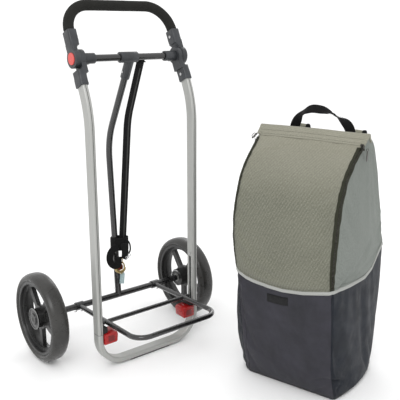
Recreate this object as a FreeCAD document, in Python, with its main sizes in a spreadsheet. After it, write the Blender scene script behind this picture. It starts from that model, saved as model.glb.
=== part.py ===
"""Two-wheeled folding shopping trolley with its lift-off fabric bag standing beside it.

Frame of reference: millimetres, +Z up. The origin is the centre of the foot strip on the floor.
X runs across the trolley, -Y is the loading side with the shelf, the wheels are at +Y.
Both straight legs stand in the plane y = 0. The top of the trolley leans back towards +Y.
"""
import FreeCAD, Part
import Sketcher
import math
import os

Vector = FreeCAD.Vector
Rotation = FreeCAD.Rotation
Placement = FreeCAD.Placement

doc = FreeCAD.newDocument("ShoppingTrolley")

# ---------------------------------------------------------------- driving dimensions

DIMENSIONS = [
    ("wheel_dia", 250, "tyre outer diameter"),
    ("tyre_width", 50, "tyre width"),
    ("rim_dia", 211, "rim outer diameter, where the tyre sits"),
    ("rim_inner_dia", 175, "diameter over the spoke windows"),
    ("rim_width", 42, "rim width"),
    ("hub_dia", 54, "wheel hub diameter"),
    ("spoke_width", 17, "width of one spoke"),
    ("spoke_thick", 12, "thickness of the spoke disc"),
    ("spoke_count", 5, "spokes in a wheel"),
    ("wheel_track", 500, "distance between the wheel centre planes"),
    ("axle_back", 155.5, "axle, distance behind the legs"),
    ("axle_tube_dia", 18, "axle tube diameter"),
    ("axle_rod_dia", 12, "axle rod diameter"),
    ("running_gap", 0.05, "radial clearance of a running fit"),
    ("part_gap", 0.3, "room between curved faces of neighbouring parts"),
    ("leg_half", 161, "leg centre, distance from the middle"),
    ("leg_deep", 30, "leg section, front to back"),
    ("leg_wide", 16, "leg section, across"),
    ("leg_corner", 5, "corner radius of the leg section"),
    ("tube_wall", 1.5, "wall of the frame tubes"),
    ("seam_up", 105, "height of the seam between leg and bow"),
    ("bend_up", 704.4, "height where the leg lines cross at the bend"),
    ("bend_radius", 250, "radius of the leg bend"),
    ("bow_radius", 75, "corner radius of the lower bow"),
    ("foot_thick", 3, "foot strip thickness"),
    ("foot_long", 140, "foot strip length"),
    ("foot_wide", 22, "foot strip width"),
    ("slot_low", 120, "guide slot, lower end"),
    ("slot_high", 256, "guide slot, upper end"),
    ("slot_wide", 8, "guide slot width"),
    ("clip_wide", 38, "shelf clip, reach inward from the leg"),
    ("clip_deep", 40, "shelf clip, front to back"),
    ("clip_tall", 32, "shelf clip, height"),
    ("clip_up", 76, "shelf clip, lower face"),
    ("pad_tall", 14.5, "pad on the shelf clip, height"),
    ("rivet_up", 265, "rivet above the guide slot, height"),
    ("lean_angle", 24, "backward lean of the top part, degrees"),
    ("pivot_back", 55.3, "crossbar axis, distance behind the legs"),
    ("pivot_up", 828.6, "crossbar axis, height"),
    ("crossbar_dia", 18, "crossbar diameter"),
    ("collar_dia", 27, "collar diameter on the crossbar"),
    ("collar_long", 35, "collar length"),
    ("ear_dia", 46, "hinge ear diameter"),
    ("ear_thick", 13.5, "thickness of one hinge ear"),
    ("ear_inner", 143.5, "inner face of the inner ear"),
    ("ear_gap", 0.5, "gap between the two ears"),
    ("button_dia", 30, "button diameter"),
    ("stem_dia", 8, "button stem diameter"),
    ("socket_deep", 35, "socket section, front to back"),
    ("socket_wide", 22, "socket section, across"),
    ("socket_corner", 7, "corner radius of the socket section"),
    ("socket_near", 33, "socket, nearest distance to the pivot"),
    ("socket_far", 72, "upper socket, farthest distance from the pivot"),
    ("lower_socket_far", 71, "lower socket, farthest distance from the pivot"),
    ("neck_deep", 34, "neck between ear and socket, front to back"),
    ("handle_half", 159, "handle side, distance from the middle"),
    ("handle_rise", 143, "handle bar above the pivot, along the lean"),
    ("handle_tube_dia", 20, "handle tube diameter"),
    ("grip_dia", 29, "foam grip diameter"),
    ("handle_radius", 70, "handle corner radius"),
    ("sleeve_dia", 28, "middle sleeve diameter on the crossbar"),
    ("sleeve_long", 52, "middle sleeve length"),
    ("sleeve_shift", 7, "middle sleeve centre, distance to the left"),
    ("stub_dia", 25, "strut socket diameter"),
    ("stub_long", 62, "strut socket length from the crossbar axis"),
    ("strut_dia", 18.5, "strut diameter"),
    ("strut_corner_back", 182.4, "strut bend, distance behind the legs"),
    ("strut_corner_up", 593.2, "strut bend, height"),
    ("strut_radius", 190, "strut bend radius"),
    ("shelf_half", 132.5, "shelf rail, distance from the middle"),
    ("shelf_reach", 306.5, "front bar of the shelf, distance from the axle"),
    ("shelf_rise", 10, "front bar of the shelf, height above the axle"),
    ("shelf_radius", 40, "front corner radius of the shelf"),
    ("rail_dia", 14, "shelf tube diameter"),
    ("rail_wall", 1.2, "wall of the shelf tubes"),
    ("mid_bar_dia", 12, "middle bar diameter"),
    ("mid_bar_reach", 150, "middle bar, distance from the axle"),
    ("mid_bar_half", 150, "middle bar, half its length"),
    ("strap_wide", 23, "luggage strap width"),
    ("strap_thick", 2.5, "luggage strap thickness"),
    ("keeper_deep", 52, "keeper, long side round strut and strap"),
    ("keeper_wide", 29, "keeper, short side"),
    ("keeper_corner", 13.5, "corner radius of the keeper"),
    ("keeper_wall", 2, "keeper thickness"),
    ("keeper_tall", 62, "keeper height"),
    ("hub_bore", 18, "bore of the hub for its bush"),
    ("hub_inside", 30, "hub, reach inward from the wheel's middle"),
    ("hub_outside", 20, "hub, reach outward from the wheel's middle"),
    ("cap_dia", 60, "hub cap diameter"),
    ("cap_tall", 7.5, "hub cap height"),
    ("button_cap", 4.5, "button head height"),
    ("lock_disc_thick", 3.5, "lock disc thickness"),
    ("lock_pocket", 9, "depth of the lock disc's pocket"),
    ("bag_right", 290, "bag centre, distance to the right"),
    ("bag_front", 351.5, "bag centre, distance in front of the legs"),
    ("bag_turn", 75, "bag turned clockwise, degrees"),
    ("bag_wall", 2, "fabric and lining thickness"),
    ("bag_corner", 14, "corner radius of the bag"),
    ("hem_half", 144, "half the length of the top hem"),
    ("hem_up", 664, "top of the hem"),
    ("hem_thick", 6, "thickness of the hem"),
    ("hem_front", 34.4, "hem, distance in front of the bag centre"),
]

sheet = doc.addObject("Spreadsheet::Sheet", "Dims")
for row, (alias, value, note) in enumerate(DIMENSIONS, start=1):
    sheet.set(f"A{row}", note)
    sheet.set(f"B{row}", str(value))
    sheet.setAlias(f"B{row}", alias)
doc.recompute()


def dim(alias):
    """Value of one driving dimension."""
    return float(getattr(sheet, alias))


SIDES = (("left", -1), ("right", 1))
X_AXIS = Vector(1, 0, 0)
Y_AXIS = Vector(0, 1, 0)
Z_AXIS = Vector(0, 0, 1)
AXLE_UP = dim("wheel_dia") / 2
PIVOT = Vector(0, dim("pivot_back"), dim("pivot_up"))
AXLE = Vector(0, dim("axle_back"), AXLE_UP)
LEAN = math.radians(dim("lean_angle"))
LEAN_ROTATION = Rotation(X_AXIS, -dim("lean_angle"))
SHELF_TILT = math.degrees(math.atan2(dim("shelf_rise"), dim("shelf_reach")))
SHELF_ROTATION = Rotation(X_AXIS, -SHELF_TILT)
BAG_ROTATION = Rotation(Z_AXIS, -dim("bag_turn"))
BAG_PLACE = Placement(Vector(dim("bag_right"), -dim("bag_front"), 0), BAG_ROTATION)

nodes = []


# ---------------------------------------------------------------- helpers

def node(thing):
    """Mark a finished object as one piece that is written to its own file."""
    nodes.append(thing)
    return thing


def bind(thing, **expressions):
    """Bind properties to the driving dimensions."""
    for name, expression in expressions.items():
        words = expression.split()
        bound = " ".join("Dims." + word if word in ALIASES else word for word in words)
        thing.setExpression(name, bound)


ALIASES = {alias for alias, value, note in DIMENSIONS}


def formula(expression):
    """The same expression that is bound to a property, as a number."""
    words = expression.split()
    sheet_values = [str(dim(word)) if word in ALIASES else word for word in words]
    return FreeCAD.Units.Quantity(" ".join(sheet_values)).Value


def turned(direction):
    """Rotation that takes +Z to a direction."""
    return Rotation(Z_AXIS, Vector(direction))


def cylinder(label, dia, length, start, direction):
    """Round bar or disc that starts at a point and runs along a direction."""
    bar = doc.addObject("Part::Cylinder", label)
    bind(bar, Radius=f"( {dia} ) / 2", Height=length)
    bar.Placement = Placement(Vector(start), turned(direction))
    return bar


def block(label, size, corner, rotation=Rotation()):
    """Rectangular block from its low corner, with expressions for its three sizes."""
    cuboid = doc.addObject("Part::Box", label)
    bind(cuboid, Length=size[0], Width=size[1], Height=size[2])
    cuboid.Placement = Placement(Vector(corner), rotation)
    return cuboid


def cut(label, base, tool):
    """Base without the tool."""
    result = doc.addObject("Part::Cut", label)
    result.Base = base
    result.Tool = tool
    return result


def fuse(label, pieces):
    """One solid from several."""
    result = doc.addObject("Part::MultiFuse", label)
    result.Shapes = pieces
    return result


def group(label, pieces):
    """Separate solids that share one node, such as identical screws."""
    result = doc.addObject("Part::Compound", label)
    result.Links = pieces
    return result


def rounded_wire(points, radius):
    """Straight runs joined by tangent arcs of one radius."""
    points = [Vector(point) for point in points]
    edges = []
    start = points[0]
    for before, corner, after in zip(points, points[1:], points[2:]):
        inward = (before - corner).normalize()
        outward = (after - corner).normalize()
        half_angle = inward.getAngle(outward) / 2
        trim = radius / math.tan(half_angle)
        middle = (inward + outward).normalize()
        reach = radius / math.sin(half_angle) - radius
        first = corner + inward * trim
        last = corner + outward * trim
        if (first - start).Length > 1e-4:
            edges.append(Part.LineSegment(start, first).toShape())
        edges.append(Part.Arc(first, corner + middle * reach, last).toShape())
        start = last
    edges.append(Part.LineSegment(start, points[-1]).toShape())
    return Part.Wire(edges)


def path(label, points, radius):
    """Document object that holds a rounded path."""
    line = doc.addObject("Part::Feature", label)
    line.Shape = rounded_wire(points, radius)
    return line


def sweep(label, section, spine):
    """Solid made by moving a section along a path."""
    result = doc.addObject("Part::Sweep", label)
    result.Sections = [section]
    result.Spine = (spine, [f"Edge{i + 1}" for i in range(len(spine.Shape.Edges))])
    result.Solid = True
    return result


def ring(label, dia, start, direction):
    """Round section at the start of a path."""
    circle = doc.addObject("Part::Circle", label)
    bind(circle, Radius=f"( {dia} ) / 2")
    circle.Placement = Placement(Vector(start), turned(direction))
    return circle


def flat_section(label, deep, wide, corner, place):
    """Rounded-rectangle sketch, centred, with its long side along the sketch's X axis."""
    sketch = doc.addObject("Sketcher::SketchObject", label)
    radius = formula(corner)
    half_deep = formula(deep) / 2
    half_wide = formula(wide) / 2
    sides = []
    centres = []
    for turn, (along, off) in enumerate(((half_deep, half_wide), (half_wide, half_deep)) * 2):
        angle = math.radians(90 * turn)
        heading = Vector(math.cos(angle), math.sin(angle), 0)
        outward = Vector(math.sin(angle), -math.cos(angle), 0)
        middle = outward * off
        sides.append((middle - heading * (along - radius), middle + heading * (along - radius)))
        centres.append(middle + heading * (along - radius) - outward * radius)
    for start, end in sides:
        sketch.addGeometry(Part.LineSegment(start, end))
    for turn, centre in enumerate(centres):
        first = math.radians(90 * turn - 90)
        circle = Part.Circle(centre, Z_AXIS, radius)
        sketch.addGeometry(Part.ArcOfCircle(circle, first, first + math.pi / 2))
    for turn in range(4):
        sketch.addConstraint(Sketcher.Constraint("Tangent", turn, 2, 4 + turn, 1))
        sketch.addConstraint(Sketcher.Constraint("Tangent", 4 + turn, 2, (turn + 1) % 4, 1))
    for turn in (1, 2, 3):
        sketch.addConstraint(Sketcher.Constraint("Equal", 4, 4 + turn))
    for line, kind in enumerate(("Horizontal", "Vertical") * 2):
        sketch.addConstraint(Sketcher.Constraint(kind, line))
    sketch.addConstraint(Sketcher.Constraint("Symmetric", 0, 1, 2, 1, -1, 1))
    limits = (("corner", ("Radius", 4, radius), corner),
              ("deep", ("DistanceX", 3, 1, 1, 1, 2 * half_deep), deep),
              ("wide", ("DistanceY", 0, 1, 2, 1, 2 * half_wide), wide))
    for name, values, expression in limits:
        index = sketch.addConstraint(Sketcher.Constraint(*values))
        sketch.renameConstraint(index, name)
        bind(sketch, **{f"Constraints.{name}": expression})
    sketch.Placement = place
    return sketch


def extrude(label, sketch, direction, length):
    """Solid made by pushing a sketch along a direction."""
    result = doc.addObject("Part::Extrusion", label)
    result.Base = sketch
    result.DirMode = "Custom"
    result.Dir = Vector(direction)
    bind(result, LengthFwd=length)
    result.Solid = True
    return result


def lean(across, along, behind=0.0):
    """Point in the leaning top part, from the pivot: across X, up the lean, behind its plane."""
    back = along * math.sin(LEAN) + behind * math.cos(LEAN)
    up = along * math.cos(LEAN) - behind * math.sin(LEAN)
    return PIVOT + Vector(across, back, up)


def shelf_point(across, forward, above=0.0):
    """Point in the shelf's own plane, from the axle."""
    tilt = math.radians(SHELF_TILT)
    front = forward * math.cos(tilt) - above * math.sin(tilt)
    up = forward * math.sin(tilt) + above * math.cos(tilt)
    return AXLE + Vector(across, -front, up)


def plane_of(body, role):
    """One of a body's own origin planes or axes."""
    return next(item for item in body.Origin.OriginFeatures if item.Role == role)


def body_sketch(body, label, role):
    """Sketch on one of the body's origin planes."""
    sketch = body.newObject("Sketcher::SketchObject", label)
    sketch.AttachmentSupport = (plane_of(body, role), [""])
    sketch.MapMode = "FlatFace"
    return sketch


def polygon(sketch, corners):
    """Closed outline of straight lines, each corner joined to the next."""
    first = sketch.GeometryCount
    for start, end in zip(corners, corners[1:] + corners[:1]):
        sketch.addGeometry(Part.LineSegment(Vector(*start, 0), Vector(*end, 0)))
    last = len(corners) - 1
    for index in range(len(corners)):
        following = first + (index + 1 if index < last else 0)
        sketch.addConstraint(Sketcher.Constraint("Coincident", first + index, 2, following, 1))


def measured(sketch, name, kind, element, value, expression):
    """Named length constraint that is bound to the driving dimensions."""
    index = sketch.addConstraint(Sketcher.Constraint(kind, element, value))
    sketch.renameConstraint(index, name)
    bind(sketch, **{f"Constraints.{name}": expression})


# ---------------------------------------------------------------- main frame

def frame_tube(label, points, radius):
    """Hollow flat-oval tube along a path that starts vertical."""
    spine = path(label + "_path", points, radius)
    upright = Placement(Vector(points[0]), Rotation(Z_AXIS, 90))
    outline = flat_section(label + "_section", "leg_deep", "leg_wide", "leg_corner", upright)
    skin = sweep(label + "_skin", outline, spine)
    inside = flat_section(label + "_bore", "leg_deep - 2 * tube_wall", "leg_wide - 2 * tube_wall",
                          "leg_corner - tube_wall", upright)
    hollow = sweep(label + "_hollow", inside, spine)
    return cut(label, skin, hollow)


def leg(side, sign):
    """Upright leg: straight in the plane y = 0, then bent back to the hinge socket."""
    across = sign * dim("leg_half")
    top = lean(across, -dim("socket_near") - 7)
    points = [(across, 0, dim("seam_up")), (across, 0, dim("bend_up")), top]
    tube = frame_tube(f"leg_{side}_tube", points, dim("bend_radius"))
    inner_face = sign * (dim("leg_half") - dim("leg_wide") / 2)
    low_x = min(inner_face - sign, inner_face + sign * 3)
    corner = (low_x, -dim("slot_wide") / 2, dim("slot_low"))
    slot = block(f"leg_{side}_slot", ("4", "slot_wide", "slot_high - slot_low"), corner)
    return node(cut(f"leg_{side}", tube, slot))


def bow_points():
    """Corners of the lower bow's centre line, from seam to seam."""
    half = dim("leg_half")
    low = dim("foot_thick") + dim("leg_wide") / 2
    seam = dim("seam_up")
    return [(-half, 0, seam), (-half, 0, low), (half, 0, low), (half, 0, seam)]


def lower_bow():
    """Bow that joins the two legs along the floor."""
    return node(frame_tube("lower_bow", bow_points(), dim("bow_radius")))


def bow_tool(label):
    """The bow's outer shape with a little room round it, for cutting a neighbour."""
    upright = Placement(Vector(bow_points()[0]), Rotation(Z_AXIS, 90))
    outline = flat_section(label + "_section", "leg_deep + 2 * part_gap", "leg_wide + 2 * part_gap",
                           "leg_corner", upright)
    return sweep(label, outline, path(label + "_path", bow_points(), dim("bow_radius")))


def foot_strip():
    """Rubber strip under the bow, a rounded bar."""
    body = doc.addObject("PartDesign::Body", "foot_strip")
    sketch = body_sketch(body, "foot_outline", "XY_Plane")
    half_long = dim("foot_long") / 2
    half_wide = dim("foot_wide") / 2
    near = [(-half_long, -half_wide), (half_long, -half_wide)]
    far = [(half_long, half_wide), (-half_long, half_wide)]
    polygon(sketch, near + far)
    for element in (0, 2):
        sketch.addConstraint(Sketcher.Constraint("Horizontal", element))
    for element in (1, 3):
        sketch.addConstraint(Sketcher.Constraint("Vertical", element))
    sketch.addConstraint(Sketcher.Constraint("Symmetric", 0, 1, 2, 1, -1, 1))
    measured(sketch, "long", "Distance", 0, 2 * half_long, "foot_long")
    measured(sketch, "wide", "Distance", 1, 2 * half_wide, "foot_wide")
    pad = body.newObject("PartDesign::Pad", "foot_pad")
    pad.Profile = sketch
    bind(pad, Length="foot_thick")
    doc.recompute()
    fillet = body.newObject("PartDesign::Fillet", "foot_ends")
    upright = [f"Edge{i + 1}" for i, edge in enumerate(pad.Shape.Edges)
               if abs(edge.tangentAt(edge.FirstParameter).z) > 0.99]
    fillet.Base = (pad, upright)
    fillet.Radius = 8
    return node(body)


def lower_socket(side, sign):
    """Frame half of the hinge: inner ear, neck and the socket that holds the leg."""
    name = f"lower_socket_{side}"
    inner = dim("ear_inner")
    thick = dim("ear_thick")
    ear = cylinder(f"{name}_ear", "ear_dia", "ear_thick", lean(sign * inner, 0), (sign, 0, 0))
    low_x = inner if sign > 0 else -inner - thick
    neck_corner = lean(low_x, -dim("socket_near") - 8, -dim("neck_deep") / 2)
    neck = block(f"{name}_neck", ("ear_thick", "neck_deep", "socket_near + 8"), neck_corner, LEAN_ROTATION)
    across = sign * dim("leg_half")
    base = Placement(lean(across, -dim("lower_socket_far")), LEAN_ROTATION * Rotation(Z_AXIS, 90))
    outline = flat_section(f"{name}_outline", "socket_deep", "socket_wide", "socket_corner", base)
    up = LEAN_ROTATION.multVec(Z_AXIS)
    shell = extrude(f"{name}_shell", outline, up, "lower_socket_far - socket_near")
    bore_foot = lean(across, -dim("lower_socket_far") - 2)
    bore_base = Placement(bore_foot, LEAN_ROTATION * Rotation(Z_AXIS, 90))
    bore_outline = flat_section(f"{name}_bore_outline", "leg_deep", "leg_wide", "leg_corner", bore_base)
    bore = extrude(f"{name}_bore", bore_outline, up, "lower_socket_far - socket_near - 5")
    solid = fuse(f"{name}_solid", [ear, neck, shell])
    out = (sign, 0, 0)
    hole = cylinder(f"{name}_hole", "stem_dia + 0.4", "ear_thick + 2", lean(sign * (inner - 1), 0), out)
    pocket_start = lean(sign * (inner + thick - dim("lock_pocket") + 1), 0)
    lock = cylinder(f"{name}_pocket", "button_dia - 3.6", "lock_pocket", pocket_start, out)
    tools = fuse(f"{name}_tools", [bore, hole, lock])
    return node(cut(name, solid, tools))


def crossbar():
    """Tube between the two inner ears."""
    inner = dim("ear_inner")
    bar = cylinder("crossbar_skin", "crossbar_dia", "2 * ear_inner", (-inner, PIVOT.y, PIVOT.z), X_AXIS)
    hollow = cylinder("crossbar_hollow", "crossbar_dia - 2 * tube_wall", "2 * ear_inner",
                      (-inner, PIVOT.y, PIVOT.z), X_AXIS)
    return node(cut("crossbar", bar, hollow))


def collars():
    """Two collars that clamp the crossbar beside the hinges."""
    made = []
    for side, sign in SIDES:
        start = (sign * (dim("ear_inner") - dim("collar_long")), PIVOT.y, PIVOT.z)
        ring_body = cylinder(f"collar_{side}_ring", "collar_dia", "collar_long", start, (sign, 0, 0))
        bore = cylinder(f"collar_{side}_bore", "crossbar_dia", "collar_long", start, (sign, 0, 0))
        made.append(cut(f"collar_{side}", ring_body, bore))
    return node(group("crossbar_collars", made))


def domed_screw(label, point, direction, dia):
    """Low domed screw head: a short disc that stands on a surface."""
    return cylinder(label, str(dia), "1.8", point, direction)


def frame_screws():
    """Screw heads on the lower sockets and under the collars, and the rivets above the slots."""
    sockets = []
    under = []
    rivets = []
    for side, sign in SIDES:
        face = sign * (dim("leg_half") - dim("socket_wide") / 2)
        sockets.append(domed_screw(f"socket_screw_{side}", lean(face, -54), (-sign, 0, 0), 8))
        low = Vector(sign * 127, PIVOT.y, PIVOT.z - dim("collar_dia") / 2)
        under.append(domed_screw(f"collar_screw_{side}", low, (0, 0, -1), 7))
        inner_face = sign * (dim("leg_half") - dim("leg_wide") / 2)
        rivets.append(domed_screw(f"leg_rivet_{side}", (inner_face, 0, dim("rivet_up")), (-sign, 0, 0), 7))
    node(group("lower_socket_screws", sockets))
    node(group("collar_screws", under))
    node(group("leg_rivets", rivets))


def shelf_clips():
    """Red blocks on the inner faces of the legs, with dark pads that the shelf rests on."""
    reds = []
    pads = []
    for side, sign in SIDES:
        outer = dim("leg_half") - dim("leg_wide") / 2
        low_x = outer - dim("clip_wide") if sign > 0 else -outer
        half_deep = dim("clip_deep") / 2
        red_corner = (low_x, -half_deep, dim("clip_up"))
        red = block(f"clip_{side}_block", ("clip_wide", "clip_deep", "clip_tall"), red_corner)
        notch_x = outer - dim("clip_wide") - 6 if sign > 0 else -outer + dim("clip_wide") - 16
        notch = block(f"clip_{side}_notch", ("22", "28", "18"), (notch_x, -14, 84))
        bow_room = bow_tool(f"clip_{side}_bow_room")
        reds.append(cut(f"clip_{side}", red, fuse(f"clip_{side}_room", [notch, bow_room])))
        pad_corner = (low_x, -half_deep, dim("clip_up") + dim("clip_tall"))
        pad = block(f"pad_{side}_block", ("clip_wide", "clip_deep", "pad_tall"), pad_corner)
        trough_start = shelf_point(sign * dim("shelf_half"), 120)
        trough = cylinder(f"pad_{side}_trough", "rail_dia + 1.2", "80", trough_start, shelf_direction())
        bar_start = shelf_point(-170, dim("mid_bar_reach"))
        bar_room = cylinder(f"pad_{side}_bar_room", "mid_bar_dia + 1.2", "340", bar_start, X_AXIS)
        room = fuse(f"pad_{side}_room", [trough, bar_room])
        pads.append(cut(f"pad_{side}", pad, room))
    node(group("shelf_clips", reds))
    node(group("clip_pads", pads))


def shelf_direction():
    """Forward direction in the shelf's plane."""
    return shelf_point(0, 1) - shelf_point(0, 0)


# ---------------------------------------------------------------- handle

def handle_points(half, foot):
    """Upside-down U in the leaning plane, from one foot to the other."""
    rise = dim("handle_rise")
    return [lean(-half, foot), lean(-half, rise), lean(half, rise), lean(half, foot)]


def handle_ring(label, dia, foot):
    """Round section at the left foot of the handle."""
    return ring(label, dia, lean(-dim("handle_half"), foot), LEAN_ROTATION.multVec(Z_AXIS))


def handle():
    """Handle tube, with the foam grip over it."""
    half = dim("handle_half")
    tube_foot = dim("socket_near") + 8
    tube_path = path("handle_path", handle_points(half, tube_foot), dim("handle_radius"))
    skin = sweep("handle_skin", handle_ring("handle_outer_ring", "handle_tube_dia", tube_foot), tube_path)
    bore = handle_ring("handle_inner_ring", "handle_tube_dia - 2 * tube_wall", tube_foot)
    node(cut("handle_tube", skin, sweep("handle_hollow", bore, tube_path)))
    grip_foot = dim("socket_far")
    grip_path = path("grip_path", handle_points(half, grip_foot), dim("handle_radius"))
    foam = sweep("grip_skin", handle_ring("grip_outer_ring", "grip_dia", grip_foot), grip_path)
    core = sweep("grip_core", handle_ring("grip_inner_ring", "handle_tube_dia", grip_foot), grip_path)
    node(cut("foam_grip", foam, core))


def upper_socket(side, sign):
    """Handle half of the hinge: outer ear, neck and the socket that holds the handle tube."""
    name = f"upper_socket_{side}"
    near = dim("ear_inner") + dim("ear_thick") + dim("ear_gap")
    thick = dim("ear_thick")
    ear = cylinder(f"{name}_ear", "ear_dia + 2", "ear_thick + 1", lean(sign * near, 0), (sign, 0, 0))
    low_x = near if sign > 0 else -near - thick
    neck_corner = lean(low_x, 0, -dim("neck_deep") / 2 + 1)
    neck_size = ("ear_thick", "neck_deep - 2", "socket_near + 8")
    neck = block(f"{name}_neck", neck_size, neck_corner, LEAN_ROTATION)
    across = sign * dim("handle_half")
    up = LEAN_ROTATION.multVec(Z_AXIS)
    base = Placement(lean(across, dim("socket_near")), LEAN_ROTATION * Rotation(Z_AXIS, 90))
    outline = flat_section(f"{name}_outline", "socket_deep - 2", "handle_tube_dia + 5", "socket_corner", base)
    shell = extrude(f"{name}_shell", outline, up, "socket_far - socket_near")
    tube_start = lean(across, dim("socket_near") + 8)
    bore = cylinder(f"{name}_bore", "handle_tube_dia", "socket_far - socket_near", tube_start, up)
    solid = fuse(f"{name}_solid", [ear, neck, shell])
    out = (sign, 0, 0)
    hole = cylinder(f"{name}_hole", "stem_dia + 0.4", "ear_thick + 3", lean(sign * (near - 1), 0), out)
    recess_start = lean(sign * (near + thick - dim("lock_pocket") + 3), 0)
    recess = cylinder(f"{name}_recess", "button_dia + 0.6", "lock_pocket", recess_start, out)
    inner_recess = cylinder(f"{name}_lock_room", "button_dia - 3.6", "4", lean(sign * (near - 1), 0), out)
    tools = fuse(f"{name}_tools", [bore, hole, recess, inner_recess])
    return node(cut(name, solid, tools))


def handle_screws():
    """Screw heads on the inner faces of the upper sockets."""
    heads = []
    for side, sign in SIDES:
        face = sign * (dim("handle_half") - dim("handle_tube_dia") / 2 - 2.5)
        heads.append(domed_screw(f"handle_screw_{side}", lean(face, 54), (-sign, 0, 0), 8))
    return node(group("upper_socket_screws", heads))


def release_button(side, sign):
    """Red push button with its stem, the lock disc on the stem and the return spring."""
    near = dim("ear_inner") + dim("ear_thick") + dim("ear_gap")
    cap_start = near + dim("ear_thick") - 1.5
    cap = cylinder(f"button_{side}_cap", "button_dia", "button_cap", lean(sign * cap_start, 0), (sign, 0, 0))
    stem_start = dim("ear_inner") + 1
    stem = cylinder(f"button_{side}_stem", "stem_dia", f"{cap_start - stem_start}",
                    lean(sign * stem_start, 0), (sign, 0, 0))
    node(fuse(f"button_{side}", [cap, stem]))
    disc_start = near - 2.5
    disc_place = lean(sign * disc_start, 0)
    disc = cylinder(f"lock_disc_{side}_plate", "button_dia - 4", "lock_disc_thick", disc_place, (sign, 0, 0))
    eye = cylinder(f"lock_disc_{side}_eye", "stem_dia", "lock_disc_thick", disc_place, (sign, 0, 0))
    node(cut(f"lock_disc_{side}", disc, eye))
    spring_start = dim("ear_inner") + dim("ear_thick") - 8
    length = disc_start - spring_start
    spring_place = lean(sign * spring_start, 0)
    coil = cylinder(f"lock_spring_{side}_coil", "stem_dia + 5", f"{length}", spring_place, (sign, 0, 0))
    clear = cylinder(f"lock_spring_{side}_clear", "stem_dia + 2", f"{length}", spring_place, (sign, 0, 0))
    node(cut(f"lock_spring_{side}", coil, clear))


# ---------------------------------------------------------------- strut, axle and luggage strap

def strut_direction():
    """Direction from the crossbar down to the strut's bend."""
    corner = Vector(0, dim("strut_corner_back"), dim("strut_corner_up"))
    return (corner - PIVOT).normalize()


def strut_sleeve():
    """Sleeve that turns on the crossbar, with the socket for the strut."""
    left_end = -dim("sleeve_long") / 2 - dim("sleeve_shift")
    start = (left_end, PIVOT.y, PIVOT.z)
    sleeve = cylinder("sleeve_body", "sleeve_dia", "sleeve_long", start, X_AXIS)
    stub = cylinder("sleeve_stub", "stub_dia", "stub_long", PIVOT, strut_direction())
    solid = fuse("sleeve_solid", [sleeve, stub])
    bore_start = (left_end - 1, PIVOT.y, PIVOT.z)
    bore = cylinder("sleeve_bore", "crossbar_dia + 2 * running_gap", "sleeve_long + 2", bore_start, X_AXIS)
    strut_room = cylinder("sleeve_strut_room", "strut_dia", "stub_long", PIVOT + strut_direction() * 14,
                          strut_direction())
    node(cut("strut_sleeve", solid, fuse("sleeve_tools", [bore, strut_room])))


def strut_rivets():
    """Rivets that hold the strut in its socket and on the axle tube."""
    left = Vector(-1, 0, 0)
    upper = PIVOT + strut_direction() * 44 + left * (dim("stub_dia") / 2 - 0.4)
    lower = AXLE + Vector(-dim("strut_dia") / 2 + 0.3, 1.2, 22)
    head_upper = domed_screw("strut_rivet_upper", upper, left, 7)
    head_lower = domed_screw("strut_rivet_lower", lower, left, 6)
    stub = cylinder("strut_rivet_stub", "stub_dia + part_gap", "stub_long", PIVOT, strut_direction())
    corner = Vector(0, dim("strut_corner_back"), dim("strut_corner_up"))
    foot = cylinder("strut_rivet_foot", "strut_dia + part_gap", "stub_long", AXLE, corner - AXLE)
    heads = [cut("strut_rivet_high", head_upper, stub), cut("strut_rivet_low", head_lower, foot)]
    return node(group("strut_rivets", heads))


def strut():
    """Bent tube from the sleeve down to the axle bracket."""
    corner = Vector(0, dim("strut_corner_back"), dim("strut_corner_up"))
    top = PIVOT + strut_direction() * 14
    spine = path("strut_path", [top, corner, AXLE], dim("strut_radius"))
    skin = sweep("strut_skin", ring("strut_outer_ring", "strut_dia", top, strut_direction()), spine)
    bore_ring = ring("strut_inner_ring", "strut_dia - 2 * tube_wall", top, strut_direction())
    saddle_start = AXLE - X_AXIS * dim("strut_dia")
    saddle = cylinder("strut_saddle", "axle_tube_dia", "2 * strut_dia", saddle_start, X_AXIS)
    room = fuse("strut_room", [sweep("strut_hollow", bore_ring, spine), saddle])
    return node(cut("strut", skin, room))


def axle():
    """Axle tube that carries the strut, and the rod through it and the wheels."""
    rod_half = dim("wheel_track") / 2 + 17
    tube_half = dim("wheel_track") / 2 - 34
    tube_start = (-tube_half, AXLE.y, AXLE.z)
    tube = cylinder("axle_tube_skin", "axle_tube_dia", "wheel_track - 68", tube_start, X_AXIS)
    tube_bore = cylinder("axle_tube_bore", "axle_rod_dia", "wheel_track - 68", tube_start, X_AXIS)
    node(cut("axle_tube", tube, tube_bore))
    node(cylinder("axle_rod", "axle_rod_dia", "wheel_track + 34", (-rod_half, AXLE.y, AXLE.z), X_AXIS))


def flat_band(label, points, radius, width, thick, across, start_direction):
    """Flat webbing along a rounded path; its width runs along the given direction."""
    wire = rounded_wire(points, radius)
    side = Vector(across).normalize()
    normal = Vector(start_direction).cross(side).normalize()
    start = Vector(points[0])
    corners = []
    for wide_sign, thick_sign in ((-1, -1), (1, -1), (1, 1), (-1, 1)):
        corners.append(start + side * (wide_sign * width / 2) + normal * (thick_sign * thick / 2))
    section = Part.makePolygon(corners + corners[:1])
    band = doc.addObject("Part::Feature", label)
    band.Shape = wire.makePipeShell([section], True, False, 1)
    return band


STRAP_TOP = PIVOT + Vector(39, 7.3, -7.7)
STRAP_BEND = Vector(39, 136, 655)
STRAP_END = Vector(20, 154, 296)
KEEPER_FOOT = Vector(12, 158, 243)
KEEPER_TURN = math.degrees(math.atan2(-14, 24))


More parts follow.
